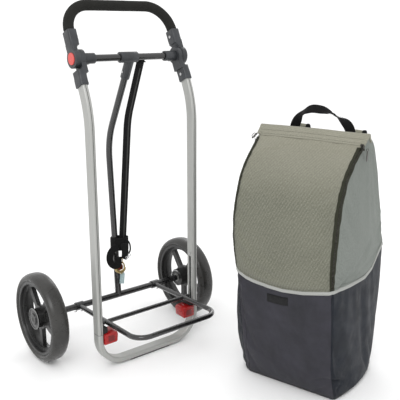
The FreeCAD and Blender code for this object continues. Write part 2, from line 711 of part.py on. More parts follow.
def luggage_strap():
    """Elastic strap that loops round the crossbar and hangs down beside the strut."""
    direction = (STRAP_BEND - STRAP_TOP).normalize()
    width = dim("strap_wide")
    thick = dim("strap_thick")
    band = flat_band("strap_band", [STRAP_TOP, STRAP_BEND, STRAP_END], 160, width, thick, X_AXIS, direction)
    start = (STRAP_TOP.x - width / 2, PIVOT.y, PIVOT.z)
    outer = cylinder("strap_loop_outer", "crossbar_dia + 6", "strap_wide", start, X_AXIS)
    bore = cylinder("strap_loop_bore", "crossbar_dia + 0.7", "strap_wide", start, X_AXIS)
    hanging = fuse("strap_hanging", [band, outer])
    return node(cut("luggage_strap", hanging, bore))


def keeper():
    """Hook-and-loop keeper wrapped round the strut and the strap end."""
    place = Placement(KEEPER_FOOT, Rotation(Z_AXIS, KEEPER_TURN))
    wrap = flat_section("keeper_outline", "keeper_deep", "keeper_wide", "keeper_corner", place)
    inside = flat_section("keeper_inside", "keeper_deep - 2 * keeper_wall", "keeper_wide - 2 * keeper_wall",
                          "keeper_corner - keeper_wall", place)
    outer = extrude("keeper_outer", wrap, Z_AXIS, "keeper_tall")
    room = extrude("keeper_room", inside, Z_AXIS, "keeper_tall")
    return node(cut("strap_keeper", outer, room))


def metal_ring(label, radius, wire, centre):
    """Ring of round wire that hangs facing the loading side."""
    torus = doc.addObject("Part::Torus", label)
    torus.Radius1 = radius
    torus.Radius2 = wire
    torus.Placement = Placement(Vector(centre), Rotation(X_AXIS, 90))
    return node(torus)


def hook():
    """Snap hook, its ring and the blank tag that hang under the keeper."""
    metal_ring("hook_ring", 8, 1.5, (6, 147, 232))
    metal_ring("snap_hook", 13, 2.5, (5, 140, 214))
    return node(block("hook_tag", ("14", "1.2", "36"), (2, 143.6, 158)))


# ---------------------------------------------------------------- wheels

def wheel_place(sign):
    """Wheel bodies are turned about their own Z axis; this lays that axis along X, outer face out."""
    centre = Vector(sign * dim("wheel_track") / 2, AXLE.y, AXLE.z)
    return Placement(centre, Rotation(Z_AXIS, Vector(sign, 0, 0)))


def revolved_body(label, corners, sign):
    """Body turned about its own Z axis from an outline of radius and height pairs."""
    body = doc.addObject("PartDesign::Body", label)
    sketch = body_sketch(body, label + "_outline", "XZ_Plane")
    polygon(sketch, corners)
    turn = body.newObject("PartDesign::Revolution", label + "_turn")
    turn.Profile = sketch
    turn.ReferenceAxis = (sketch, ["V_Axis"])
    turn.Angle = 360
    body.Placement = wheel_place(sign)
    return body


def rounded_edges(body, label, radius, chosen):
    """Fillet on the edges of the body's tip that a test picks."""
    doc.recompute()
    base = body.Tip
    names = [f"Edge{i + 1}" for i, edge in enumerate(base.Shape.Edges) if chosen(edge)]
    fillet = body.newObject("PartDesign::Fillet", label)
    fillet.Base = (base, names)
    fillet.Radius = radius
    return fillet


def edge_radius(edge):
    """Distance of a circular edge from the wheel's axis, or zero for any other edge."""
    curve = edge.Curve
    return curve.Radius if hasattr(curve, "Radius") else 0.0


def tyre(side, sign):
    """Solid tyre with a rounded tread."""
    outer = dim("wheel_dia") / 2
    inner = dim("rim_dia") / 2
    half = dim("tyre_width") / 2
    wall = inner + 5
    low = [(inner, -half + 4), (wall, -half), (outer, -half)]
    high = [(outer, half), (wall, half), (inner, half - 4)]
    corners = low + high
    body = revolved_body(f"tyre_{side}", corners, sign)
    rounded_edges(body, f"tyre_{side}_tread", 13.5, lambda edge: abs(edge_radius(edge) - outer) < 0.1)
    return node(body)


def rim(side, sign):
    """Rim with its hub and five spokes."""
    outer = dim("rim_dia") / 2
    ledge = dim("rim_inner_dia") / 2
    half = dim("rim_width") / 2
    hub = dim("hub_dia") / 2
    bore = dim("hub_bore") / 2
    face = dim("spoke_thick") / 2
    hub_in = -dim("hub_inside")
    hub_out = dim("hub_outside")
    lip = face + 4
    step = ledge + 9
    corners = [(bore, hub_in), (hub, hub_in), (hub, -face), (ledge, -face), (ledge, -lip), (step - 2, -lip),
               (step, -half), (outer, -half), (outer, half), (step, half), (step - 2, lip), (ledge, lip),
               (ledge, face), (hub, face), (hub, hub_out), (bore, hub_out)]
    body = revolved_body(f"rim_{side}", corners, sign)
    doc.recompute()
    window = body_sketch(body, f"rim_{side}_window", "XY_Plane")
    window_outline(window, hub + 7, ledge - 1)
    pocket = body.newObject("PartDesign::Pocket", f"rim_{side}_pocket")
    pocket.Profile = window
    pocket.Midplane = True
    bind(pocket, Length="2 * rim_width")
    doc.recompute()
    pattern = body.newObject("PartDesign::PolarPattern", f"rim_{side}_windows")
    pattern.Originals = [pocket]
    pattern.Axis = (plane_of(body, "Z_Axis"), [""])
    pattern.Angle = 360
    bind(pattern, Occurrences="spoke_count")
    body.Tip = pattern
    doc.recompute()
    upright = Rotation(Z_AXIS, 180 if sign > 0 else 0)
    body.Placement = body.Placement.multiply(Placement(Vector(), upright))
    return node(body)


def window_outline(sketch, low, high):
    """Opening between two spokes: an annular sector with straight, parallel-sided spokes."""
    turn = math.pi / dim("spoke_count")
    half_spoke = dim("spoke_width") / 2
    corners = []
    for radius, sign in ((low, -1), (high, -1), (high, 1), (low, 1)):
        angle = sign * (turn - math.asin(half_spoke / radius))
        corners.append(Vector(radius * math.cos(angle), radius * math.sin(angle), 0))
    inner_arc = Part.Arc(corners[3], Vector(low, 0, 0), corners[0])
    outer_arc = Part.Arc(corners[1], Vector(high, 0, 0), corners[2])
    sketch.addGeometry(Part.LineSegment(corners[0], corners[1]))
    sketch.addGeometry(outer_arc)
    sketch.addGeometry(Part.LineSegment(corners[2], corners[3]))
    sketch.addGeometry(inner_arc)


def wheel_bush(side, sign):
    """Nylon bush pressed into the hub, running on the axle rod."""
    gap = dim("running_gap")
    bore = dim("axle_rod_dia") / 2 + gap
    skin = dim("hub_bore") / 2
    low = -dim("hub_inside")
    high = dim("hub_outside")
    collar = skin + 4
    corners = [(bore, low - 1), (collar, low - 1), (collar, low), (skin, low), (skin, high), (bore, high)]
    return node(revolved_body(f"wheel_bush_{side}", corners, sign))


def hub_cap(side, sign):
    """Round cap over the end of the axle."""
    low = dim("hub_outside")
    skin = dim("hub_bore") / 2
    edge = dim("cap_dia") / 2
    top = low + dim("cap_tall")
    inside = [(0, low + 1), (skin, low + 1), (skin, low)]
    outside = [(edge, low), (edge, low + 3), (edge - 4, top - 1.5), (16.5, top - 1.5), (15.5, top), (0, top)]
    corners = inside + outside
    return node(revolved_body(f"hub_cap_{side}", corners, sign))


def wheel_clip(side, sign):
    """Quick-release clip on the inner side of the hub, a bent spring wire."""
    place = wheel_place(sign)
    arc = doc.addObject("Part::Torus", f"wheel_clip_{side}")
    arc.Radius1 = 24
    arc.Radius2 = 1.4
    arc.Angle3 = 200
    centre = place.multVec(Vector(0, 0, -31.5))
    arc.Placement = Placement(centre, place.Rotation)
    return node(arc)


# ---------------------------------------------------------------- shelf

def shelf():
    """U-shaped shelf tube with sleeves on the axle and the middle bar that rides in the leg slots."""
    half = dim("shelf_half")
    reach = dim("shelf_reach")
    start = dim("axle_tube_dia") / 2 + 2
    corners = [(-half, start), (-half, reach), (half, reach), (half, start)]
    points = [shelf_point(across, forward) for across, forward in corners]
    spine = path("shelf_path", points, dim("shelf_radius"))
    rail = sweep("shelf_rail", ring("shelf_ring", "rail_dia", points[0], shelf_direction()), spine)
    parts = [rail]
    for side, sign in SIDES:
        sleeve_start = (sign * (half - 12), AXLE.y, AXLE.z)
        parts.append(cylinder(f"shelf_sleeve_{side}", "axle_tube_dia + 6", "24", sleeve_start, (sign, 0, 0)))
    solid = fuse("shelf_solid", parts)
    hollow_ring = ring("shelf_hollow_ring", "rail_dia - 2 * rail_wall", points[0], shelf_direction())
    hollow = sweep("shelf_hollow", hollow_ring, spine)
    bore_start = (-half - 20, AXLE.y, AXLE.z)
    bore_dia = "axle_tube_dia + 2 * running_gap"
    bore = cylinder("shelf_bore", bore_dia, "2 * shelf_half + 40", bore_start, X_AXIS)
    bar_half = dim("mid_bar_half")
    bar_start = shelf_point(-bar_half, dim("mid_bar_reach"))
    bar_room = cylinder("shelf_bar_room", "mid_bar_dia", "2 * mid_bar_half", bar_start, X_AXIS)
    node(cut("shelf_frame", solid, fuse("shelf_tools", [hollow, bore, bar_room])))
    bar = cylinder("mid_bar_skin", "mid_bar_dia", "2 * mid_bar_half", bar_start, X_AXIS)
    bar_bore = cylinder("mid_bar_bore", "mid_bar_dia - 2 * rail_wall", "2 * mid_bar_half", bar_start, X_AXIS)
    node(cut("shelf_mid_bar", bar, bar_bore))


# ---------------------------------------------------------------- bag

# Each row: height, half width, reach to the front, reach to the back, all from the bag's centre line.
LOWER_BAG = [
    (0, 128, 114, 101),
    (18, 134, 124, 106),
    (100, 134.5, 151, 122),
    (200, 135, 156, 136),
    (300, 134, 167, 141),
]
UPPER_BAG = [
    (300, 134, 167, 141),
    (400, 137, 178, 118),
    (500, 138, 169, 85),
    (560, 138.5, 144, 60),
    (600, 139.5, 108, 38),
    (640, 142, 60, 2),
    (652, 143, 46, -18),
]


def bag_section(height, half, front, back, inset):
    """Rounded rectangle at one height of the bag."""
    radius = min(dim("bag_corner"), (front + back) / 2 - 4) - inset
    half = half - inset
    low = -front + inset
    high = back - inset
    corners = [(-half, low), (half, low), (half, high), (-half, high)]
    centres = [(-half + radius, low + radius), (half - radius, low + radius),
               (half - radius, high - radius), (-half + radius, high - radius)]
    edges = []
    last = None
    first = None
    for index, (x, y) in enumerate(centres):
        begin = math.radians(180 + 90 * index)
        angles = (begin, begin + math.pi / 4, begin + math.pi / 2)
        points = [Vector(x + radius * math.cos(a), y + radius * math.sin(a), height) for a in angles]
        if last is not None:
            edges.append(Part.LineSegment(last, points[0]).toShape())
        else:
            first = points[0]
        edges.append(Part.Arc(*points).toShape())
        last = points[2]
    edges.append(Part.LineSegment(last, first).toShape())
    return Part.Wire(edges)


def bag_shell(label, rows, floor, ceiling):
    """Hollow shell lofted through the sections; a floor or ceiling closes an end."""
    wall = dim("bag_wall")
    outer = Part.makeLoft([bag_section(*row, 0.0) for row in rows], True, True)
    inner_rows = list(rows)
    if floor:
        inner_rows[0] = (rows[0][0] + wall,) + rows[0][1:]
    if ceiling:
        inner_rows[-1] = (rows[-1][0] - wall,) + rows[-1][1:]
    inner = Part.makeLoft([bag_section(*row, wall) for row in inner_rows], True, True)
    shell = doc.addObject("Part::Feature", label)
    shell.Shape = outer.cut(inner)
    shell.Placement = BAG_PLACE
    return node(shell)


def bag_block(label, size, corner, rotation=Rotation()):
    """Flat panel placed in the bag's own frame."""
    panel = block(label, size, (0, 0, 0))
    panel.Placement = BAG_PLACE.multiply(Placement(Vector(corner), rotation))
    return node(panel)


def bag_panels():
    """Hem, inner boards, the two hanging tabs behind the hem and the blank label patch."""
    front = -dim("hem_front") - dim("hem_thick") / 2
    bag_block("bag_hem", ("2 * hem_half", "hem_thick", "hem_up - 652"), (-dim("hem_half"), front, 652))
    bag_block("base_board", ("236", "196", "3"), (-118, -106, 2.2))
    bag_block("back_board", ("220", "3", "282"), (-110, 94, 6), Rotation(X_AXIS, -7.5))
    tabs = []
    for side, low, wide in (("left", -95, "31"), ("right", 54, "38")):
        tab = block(f"hanging_tab_{side}", (wide, "3", "94"), (0, 0, 0))
        tab.Placement = BAG_PLACE.multiply(Placement(Vector(low, 60.3, 560), Rotation()))
        tabs.append(tab)
    node(group("hanging_tabs", tabs))
    bag_block("label_patch", ("58", "1", "22"), (-62, -163.9, 258), Rotation(X_AXIS, 6.3))


def zip_strip(side, sign):
    """Zip tape down the front edge of the upper bag's side."""
    sections = []
    for height, half, front, back in UPPER_BAG[:-1]:
        near = half + 0.2
        far = half + 1.8
        begin = -front + 15
        end = begin + 12
        corners = [(near, begin), (far, begin), (far, end), (near, end)]
        loop = [Vector(sign * x, y, height) for x, y in corners]
        sections.append(Part.makePolygon(loop + loop[:1]))
    strip = doc.addObject("Part::Feature", f"zip_{side}")
    strip.Shape = Part.makeLoft(sections, True, True)
    strip.Placement = BAG_PLACE
    return node(strip)


def zip_slider(side, sign):
    """Slider body at the top of the zip, with the pull tab that hangs on it."""
    low = 144.5 if sign > 0 else -149.5
    slider = block(f"zip_slider_{side}", ("5", "9", "13"), (0, 0, 0))
    slider.Placement = BAG_PLACE.multiply(Placement(Vector(low, -63.8, 633), Rotation(X_AXIS, -48)))
    node(slider)
    pull_low = 150.2 if sign > 0 else -151.8
    pull = block(f"zip_pull_{side}", ("1.6", "8", "26"), (0, 0, 0))
    pull.Placement = BAG_PLACE.multiply(Placement(Vector(pull_low, -61, 604), Rotation()))
    node(pull)


def carry_handle():
    """Webbing handle that arches above the hem."""
    points = [(-68, -4, 646), (-50, -4, 702), (22, -4, 706), (88, -4, 674), (88, -4, 646)]
    start_direction = Vector(*points[1]) - Vector(*points[0])
    arch = flat_band("carry_handle", points, 13, 24, 2.5, start_direction.cross(Y_AXIS), start_direction)
    arch.Placement = BAG_PLACE
    return node(arch)


# ---------------------------------------------------------------- build

for side, sign in SIDES:
    leg(side, sign)
    lower_socket(side, sign)
    upper_socket(side, sign)
    release_button(side, sign)
    tyre(side, sign)
    rim(side, sign)
    wheel_bush(side, sign)
    hub_cap(side, sign)
    wheel_clip(side, sign)
    zip_strip(side, sign)
    zip_slider(side, sign)

lower_bow()
foot_strip()
crossbar()
collars()
frame_screws()
shelf_clips()
handle()
handle_screws()
strut_sleeve()
strut_rivets()
strut()
axle()
luggage_strap()
keeper()
hook()
shelf()
bag_shell("bag_lower", LOWER_BAG, True, False)
bag_shell("bag_upper", UPPER_BAG, False, True)
bag_panels()
carry_handle()

doc.recompute()

# ---------------------------------------------------------------- checks and files

for thing in doc.Objects:
    if "Invalid" in thing.State or "Error" in thing.State:
        raise RuntimeError(f"{thing.Label} did not build: {thing.State}")

os.makedirs("parts", exist_ok=True)
for thing in nodes:
    shape = thing.Shape
    if shape.isNull() or not shape.isValid() or not shape.Solids:
        raise RuntimeError(f"{thing.Label} has no valid solid")
    print(f"{thing.Label:24s} solids {len(shape.Solids)} volume {shape.Volume / 1000:9.2f} cm3")
    shape.exportStep(f"parts/{thing.Label}.step")
print(len(nodes), "nodes")
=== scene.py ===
"""Looks of a two-wheeled folding shopping trolley and the fabric bag that stands beside it.

Everything is in metres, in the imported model's own frame: X across the trolley, -Y its loading side, +Z up.
"""
import bmesh
import bpy
import math
import numpy as np
from mathutils import Matrix, Vector


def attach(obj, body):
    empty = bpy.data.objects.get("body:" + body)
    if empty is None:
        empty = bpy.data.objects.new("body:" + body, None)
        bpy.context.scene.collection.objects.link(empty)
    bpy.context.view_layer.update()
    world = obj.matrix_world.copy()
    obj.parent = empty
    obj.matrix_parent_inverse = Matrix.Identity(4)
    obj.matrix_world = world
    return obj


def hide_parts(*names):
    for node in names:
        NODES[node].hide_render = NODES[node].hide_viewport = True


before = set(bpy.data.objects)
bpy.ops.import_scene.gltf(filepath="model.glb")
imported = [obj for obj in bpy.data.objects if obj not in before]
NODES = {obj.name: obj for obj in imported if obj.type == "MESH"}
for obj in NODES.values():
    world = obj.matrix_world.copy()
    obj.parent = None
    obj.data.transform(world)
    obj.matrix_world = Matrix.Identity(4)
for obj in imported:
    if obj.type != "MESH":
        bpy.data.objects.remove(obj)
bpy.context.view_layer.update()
X = Vector((1, 0, 0))
Y = Vector((0, 1, 0))
Z = Vector((0, 0, 1))
SIDES = (("left", -1), ("right", 1))


# ---------------------------------------------------------------- materials

# Share of a display colour that a surface gives back under the bright studio sky.
SHADE = 0.60


def tone(red, green, blue):
    """Linear colour from an 8-bit display colour."""
    values = []
    for channel in (red, green, blue):
        share = channel / 255
        values.append(SHADE * (share / 12.92 if share <= 0.04045 else ((share + 0.055) / 1.055) ** 2.4))
    return (*values, 1.0)


class Paint:
    """A node material in the making."""

    def __init__(self, name, **sockets):
        self.material = bpy.data.materials.new(name)
        self.material.use_nodes = True
        self.tree = self.material.node_tree
        self.surface = self.tree.nodes["Principled BSDF"]
        self.relief = None
        for socket, value in sockets.items():
            self.surface.inputs[socket.replace("_", " ")].default_value = value

    def node(self, kind, sockets, **settings):
        """Add a node; a socket's value may be a number, a colour or another node's output."""
        made = self.tree.nodes.new("ShaderNode" + kind)
        for setting, value in settings.items():
            setattr(made, setting, value)
        for socket, value in sockets.items():
            if isinstance(value, bpy.types.NodeSocket):
                self.tree.links.new(value, made.inputs[socket])
            else:
                made.inputs[socket].default_value = value
        return made

    def place(self, stretch=(1, 1, 1), turn=(0, 0, 0), source="Object"):
        """Coordinates on the piece, stretched and turned."""
        spot = self.node("TexCoord", {}).outputs[source]
        return self.node("Mapping", {"Vector": spot, "Scale": stretch, "Rotation": turn}).outputs["Vector"]

    def noise(self, spot, scale, detail=3.0, rough=0.55, warp=0.0):
        sockets = {"Vector": spot, "Scale": scale, "Detail": detail, "Roughness": rough, "Distortion": warp}
        return self.node("TexNoise", sockets).outputs["Fac"]

    def bands(self, spot, scale, direction="X", warp=0.0, profile="SIN"):
        """Parallel bands, scale times per metre."""
        sockets = {"Vector": spot, "Scale": scale * math.pi / 10, "Distortion": warp, "Detail": 0.0}
        wave = self.node("TexWave", sockets, bands_direction=direction, wave_profile=profile)
        return wave.outputs["Fac"]

    def cells(self, spot, scale, feature="F1"):
        return self.node("TexVoronoi", {"Vector": spot, "Scale": scale},
                         feature=feature).outputs["Distance"]

    def sum(self, first, second, operation="ADD"):
        return self.node("Math", {0: first, 1: second}, operation=operation).outputs[0]

    def ramp(self, factor, *stops):
        """Colours at positions along a factor."""
        made = self.node("ValToRGB", {"Fac": factor})
        edge = made.color_ramp.elements
        while len(edge) < len(stops):
            edge.new(0.5)
        for element, (position, colour) in zip(edge, stops):
            element.position = position
            element.color = colour if hasattr(colour, "__len__") else (colour, colour, colour, 1.0)
        return made.outputs["Color"]

    def mix(self, factor, first, second, blend="MIX"):
        sockets = {"Factor": factor, "A": first, "B": second}
        made = self.tree.nodes.new("ShaderNodeMix")
        made.data_type = "RGBA"
        made.blend_type = blend
        colour = {"Factor": 0, "A": 6, "B": 7}
        for socket, value in sockets.items():
            if isinstance(value, bpy.types.NodeSocket):
                self.tree.links.new(value, made.inputs[colour[socket]])
            else:
                made.inputs[colour[socket]].default_value = value
        return made.outputs[2]

    def bump(self, height, depth, strength=1.0):
        """Relief of a height in metres; further calls add to it."""
        sockets = {"Height": height, "Distance": depth, "Strength": strength}
        if self.relief is not None:
            sockets["Normal"] = self.relief
        self.relief = self.node("Bump", sockets).outputs["Normal"]
        self.tree.links.new(self.relief, self.surface.inputs["Normal"])

    def wear(self, socket, value):
        """Drive one of the surface's sockets."""
        self.tree.links.new(value, self.surface.inputs[socket])


def aluminium(name, grain):
    """Satin anodised tube with drawing lines along it."""
    paint = Paint(name, Metallic=0.45, Specular_IOR_Level=0.4)
    spot = paint.place(grain)
    streaks = paint.noise(spot, 1.0, 4.0, 0.6)
    cloud = paint.noise(paint.place(), 9.0, 3.0)
    colour = paint.mix(cloud, tone(194, 196, 189), tone(208, 209, 204))
    paint.wear("Base Color", paint.mix(0.35, colour, paint.ramp(streaks, (0.3, 0.34), (0.7, 0.52)), "MIX"))
    paint.wear("Roughness", paint.ramp(streaks, (0.2, 0.36), (0.8, 0.52)))
    paint.bump(streaks, 0.00012, 0.5)
    return paint.material


def moulded(name, colour, light, rough=0.42, grain=0.00012, scale=900.0):
    """Moulded plastic with a fine spark-eroded grain and scuffed high spots."""
    paint = Paint(name, Specular_IOR_Level=0.45)
    spot = paint.place()
    cloud = paint.noise(spot, 22.0, 5.0, 0.65)
    paint.wear("Base Color", paint.ramp(cloud, (0.32, colour), (0.74, light)))
    paint.wear("Roughness", paint.ramp(paint.noise(spot, 60.0, 4.0), (0.3, rough - 0.08),
                                       (0.7, rough + 0.1)))
    paint.bump(paint.cells(spot, scale), grain, 0.5)
    paint.bump(cloud, 0.0003, 0.25)
    return paint.material


def lacquer(name, colour, light, rough=0.16):
    """Powder coat or gloss paint on steel tube, with a faint orange peel."""
    paint = Paint(name, Coat_Weight=0.6, Coat_Roughness=0.08)
    spot = paint.place()
    cloud = paint.noise(spot, 35.0, 3.0)
    paint.wear("Base Color", paint.ramp(cloud, (0.35, colour), (0.75, light)))
    paint.wear("Roughness", paint.ramp(paint.noise(spot, 80.0, 4.0), (0.3, rough), (0.75, rough + 0.2)))
    paint.bump(paint.noise(spot, 420.0, 2.0), 0.00008, 0.6)
    return paint.material


def metal(name, colour, light, rough=0.25, stretch=(1, 1, 1)):
    """Plated or drawn metal with fine scratches and a slight tarnish."""
    paint = Paint(name, Metallic=1.0)
    spot = paint.place(stretch)
    tarnish = paint.noise(paint.place(), 160.0, 5.0, 0.65)
    paint.wear("Base Color", paint.ramp(tarnish, (0.3, colour), (0.65, light)))
    scratches = paint.noise(spot, 1400.0, 2.0)
    paint.wear("Roughness", paint.ramp(scratches, (0.3, rough * 0.7), (0.7, rough * 1.5)))
    paint.bump(scratches, 0.00003, 0.4)
    return paint.material


def rubber(name, colour, light, rough=0.6):
    """Tyre or pad rubber with dusty bloom and fine pores."""
    paint = Paint(name, Specular_IOR_Level=0.5)
    spot = paint.place()
    bloom = paint.noise(spot, 16.0, 6.0, 0.6)
    paint.wear("Base Color", paint.ramp(bloom, (0.34, colour), (0.72, light)))
    paint.wear("Roughness", paint.ramp(paint.noise(spot, 45.0, 4.0), (0.3, rough - 0.12),
                                       (0.7, rough + 0.1)))
    paint.bump(paint.noise(spot, 1100.0, 3.0), 0.0001, 0.6)
    paint.bump(paint.noise(spot, 90.0, 2.0), 0.0004, 0.2)
    return paint.material


def foam(name):
    """Closed-cell foam with open pores on its skin."""
    paint = Paint(name, Roughness=0.95, Specular_IOR_Level=0.08, Sheen_Weight=0.03)
    spot = paint.place()
    pores = paint.cells(spot, 1300.0)
    cloud = paint.noise(spot, 60.0, 5.0, 0.7)
    paint.wear("Base Color", paint.mix(pores,
                                       paint.ramp(cloud, (0.3, tone(30, 30, 29)), (0.75, tone(50, 50, 48))),
                                       tone(58, 58, 55)))
    paint.bump(pores, 0.0004, 0.8)
    paint.bump(cloud, 0.0008, 0.4)
    return paint.material


def webbing(name, colour, light, ribs=620.0):
    """Woven webbing: ribs across the band and fine lines along it, from the piece's own UV in metres."""
    paint = Paint(name, Roughness=0.85, Specular_IOR_Level=0.12, Sheen_Weight=0.04, Sheen_Roughness=0.5)
    spot = paint.place(source="UV")
    across = paint.bands(spot, ribs, "Y")
    along = paint.bands(spot, ribs * 1.6, "X")
    weave = paint.sum(across, along, "MULTIPLY")
    fuzz = paint.noise(spot, 700.0, 3.0)
    shade = paint.mix(weave, colour, light)
    paint.wear("Base Color", paint.mix(paint.ramp(fuzz, (0.3, 0.0), (0.8, 0.6)), shade, light))
    paint.bump(weave, 0.0005, 0.8)
    paint.bump(fuzz, 0.0003, 0.4)
    return paint.material


def melange(name, dark, mid, light, lean_angle, stripe=0.42, painted_top_light=0.0):
    """Melange twill: mixed yarns in a fine diagonal weave, from the piece's own UV in metres. Its last
    argument lightens it toward pale cream above half a metre: a painted highlight where the top of the bag
    turns up to the light.
    """
    paint = Paint(name, Roughness=0.92, Specular_IOR_Level=0.2, Sheen_Weight=0.12, Sheen_Roughness=0.6)
    spot = paint.place(source="UV")
    yarn = paint.noise(paint.place((1400, 160, 1), (0, 0, lean_angle), "UV"), 1.0, 2.0, 0.7)
    cross = paint.noise(paint.place((160, 1400, 1), source="UV"), 1.0, 2.0, 0.7)
    mixed = paint.sum(paint.sum(yarn, cross), 0.5, "MULTIPLY")
    colour = paint.ramp(mixed, (0.36, dark), (0.5, mid), (0.64, light))
    twill = paint.bands(paint.place(turn=(0, 0, lean_angle), source="UV"), 148.0, "X", 0.25)
    colour = paint.mix(paint.ramp(twill, (0.25, 0.0), (0.75, stripe)), colour, dark)
    cloud = paint.noise(spot, 7.0, 4.0)
    colour = paint.mix(paint.ramp(cloud, (0.3, 0.0), (0.8, 0.22)), colour, light)
    # Painted highlight: above half a metre the cloth blends toward pale cream, where the top of the bag turns
    # up to the light.
    height = paint.node("SeparateXYZ", {"Vector": paint.node("TexCoord",
                                                             {}).outputs["Object"]}).outputs["Z"]
    colour = paint.mix(paint.ramp(height, (0.50, 0.0), (0.64, painted_top_light)), colour, tone(232, 226, 204))
    paint.wear("Base Color", colour)
    fine = paint.bands(paint.place(turn=(0, 0, lean_angle), source="UV"), 900.0, "X", 0.2)
    paint.bump(fine, 0.00025, 0.7)
    paint.bump(mixed, 0.0003, 0.5)
    return paint.material


def coated(name, dark, light, rough=0.5):
    """Coated plain-weave nylon with a soft sheen."""
    paint = Paint(name, Specular_IOR_Level=0.16, Sheen_Weight=0.02, Sheen_Roughness=0.4)
    spot = paint.place(source="UV")
    weave = paint.sum(paint.bands(spot, 800.0, "X"), paint.bands(spot, 800.0, "Y"), "MULTIPLY")
    cloud = paint.noise(spot, 14.0, 5.0, 0.6)
    paint.wear("Base Color", paint.mix(paint.ramp(weave, (0.0, 0.0), (1.0, 0.35)),
                                       paint.ramp(cloud, (0.3, dark), (0.75, light)), light))
    paint.wear("Roughness", paint.ramp(paint.noise(spot, 30.0, 4.0), (0.3, rough - 0.06),
                                       (0.7, rough + 0.14)))
    paint.bump(weave, 0.0002, 0.7)
    paint.bump(paint.noise(spot, 55.0, 3.0), 0.0012, 0.25)
    return paint.material


PAINTS = {
    "leg_aluminium": aluminium("leg_finish", (900, 900, 14)),
    "black_plastic": moulded("hinge_plastic", tone(48, 50, 53), tone(76, 79, 83), 0.4),
    "black_steel": lacquer("black_powder_coat", tone(22, 22, 23), tone(34, 34, 35)),
    "grip_foam": foam("grip_foam_skin"),
    "red_button": moulded("button_red", tone(255, 84, 78), tone(255, 104, 96), 0.3, 0.00004),
    "red_clip": moulded("clip_red", tone(178, 14, 16), tone(206, 36, 34), 0.28, 0.00004),
    "dark_rubber": rubber("pad_rubber", tone(30, 30, 30), tone(50, 50, 49), 0.75),
    "wheel_plastic": moulded("wheel_black", tone(24, 24, 24), tone(44, 44, 43), 0.32),
    "tyre": rubber("tyre_rubber", tone(42, 41, 39), tone(64, 63, 60), 0.32),
    "bright_steel": metal("bright_zinc", tone(214, 214, 216), tone(248, 248, 248)),
    "nylon": moulded("bush_nylon", tone(120, 120, 118), tone(150, 150, 148), 0.45, 0.00005),
    "webbing": webbing("black_webbing", tone(16, 16, 17), tone(40, 40, 41)),
    "brass": metal("aged_brass", tone(200, 160, 90), tone(255, 232, 172), 0.26),
    "tag_plastic": moulded("tag_blue", tone(170, 205, 210), tone(220, 240, 242), 0.35, 0.00004),
    # The front's last value sets how much painted highlight lightens the top of the cloth.
    "upper_fabric": melange("melange_front", tone(92, 93, 81), tone(136, 137, 121), tone(178, 178, 161),
                            0.42, 0.30, 0.26),
    "lower_fabric": coated("navy_nylon", tone(54, 54, 59), tone(72, 71, 80)),
    "board": moulded("board_grey", tone(80, 80, 78), tone(104, 104, 101), 0.7),
    "zip_tape": webbing("zip_tape_weave", tone(44, 45, 36), tone(82, 84, 68), 900.0),
    "zip_metal": metal("gunmetal", tone(52, 50, 46), tone(120, 118, 112), 0.3),
    "label_fabric": webbing("label_weave", tone(36, 36, 37), tone(58, 58, 60), 1100.0),
}
# Lit copy of the upper cloth for the sides, back and top cap: painted light, lighter and cooler than the
# front because of how the light falls on the side.
PAINTS["melange_side_lit"] = melange("melange_side_lit", tone(104, 110, 104), tone(140, 147, 140),
                                 tone(170, 176, 169), -0.45,
                                 0.08)
# Shaded copy of the lower cloth for the sides, back, base and corner seams: painted shade, darker than the
# front where less light falls.
PAINTS["lower_side_shaded"] = coated("navy_nylon_side_shaded", tone(27, 31, 38), tone(42, 47, 57))
# Lighter grey for the narrow line along the front of the luggage strap.
PAINTS["strap_stripe"] = webbing("strap_stripe", tone(70, 70, 69), tone(104, 104, 102))
PAINTS["fuzzy_wrap"] = webbing("fuzzy_wrap", tone(20, 20, 20), tone(48, 48, 48), 300.0)
PAINTS["copper"] = metal("reddish_gate", tone(110, 48, 34), tone(160, 84, 60), 0.32)
PAINTS["groove"] = moulded("groove_shade", tone(52, 53, 51), tone(70, 71, 69), 0.6, 0.00002)
PAINTS["clip_shade"] = moulded("clip_shade", tone(120, 8, 10), tone(150, 20, 20), 0.34, 0.00004)
PAINTS["cap_disc"] = moulded("cap_disc_grey", tone(84, 84, 83), tone(112, 112, 110), 0.4, 0.00004)
PAINTS["cap_black"] = moulded("cap_black", tone(15, 15, 15), tone(28, 28, 28), 0.24, 0.00005)
PAINTS["handle_webbing"] = webbing("handle_webbing", tone(10, 10, 11), tone(27, 27, 28))
PAINTS["cap_ring"] = moulded("cap_ring_grey", tone(140, 140, 139), tone(176, 176, 174), 0.3, 0.00004)
PAINTS["thread"] = webbing("thread_dark", tone(70, 71, 60), tone(96, 97, 84), 900.0)
PAINTS["piping"] = webbing("piping_grey", tone(196, 198, 193), tone(224, 225, 221), 700.0)

for node in NODES.values():
    for place in node.material_slots:
        place.material = PAINTS[place.material.name.split(".")[0]]


# ---------------------------------------------------------------- mesh helpers

def piece(name, vertices, faces, paint, uv=None, flat=False):
    """Mesh object from numpy or list vertices; uv has one pair per vertex."""
    mesh = bpy.data.meshes.new(name)
    mesh.from_pydata([tuple(map(float, v)) for v in vertices], [], [tuple(map(int, f)) for f in faces])
    mesh.update()
    if uv is not None:
        layer = mesh.uv_layers.new(name="UVMap")
        corners = np.empty(len(mesh.loops), np.int32)
        mesh.loops.foreach_get("vertex_index", corners)
        layer.data.foreach_set("uv", np.asarray(uv, np.float32)[corners].ravel())
    if not flat:
        mesh.polygons.foreach_set("use_smooth", [True] * len(mesh.polygons))
    mesh.materials.append(PAINTS[paint] if isinstance(paint, str) else paint)
    made = bpy.data.objects.new(name, mesh)
    bpy.context.scene.collection.objects.link(made)
    return made


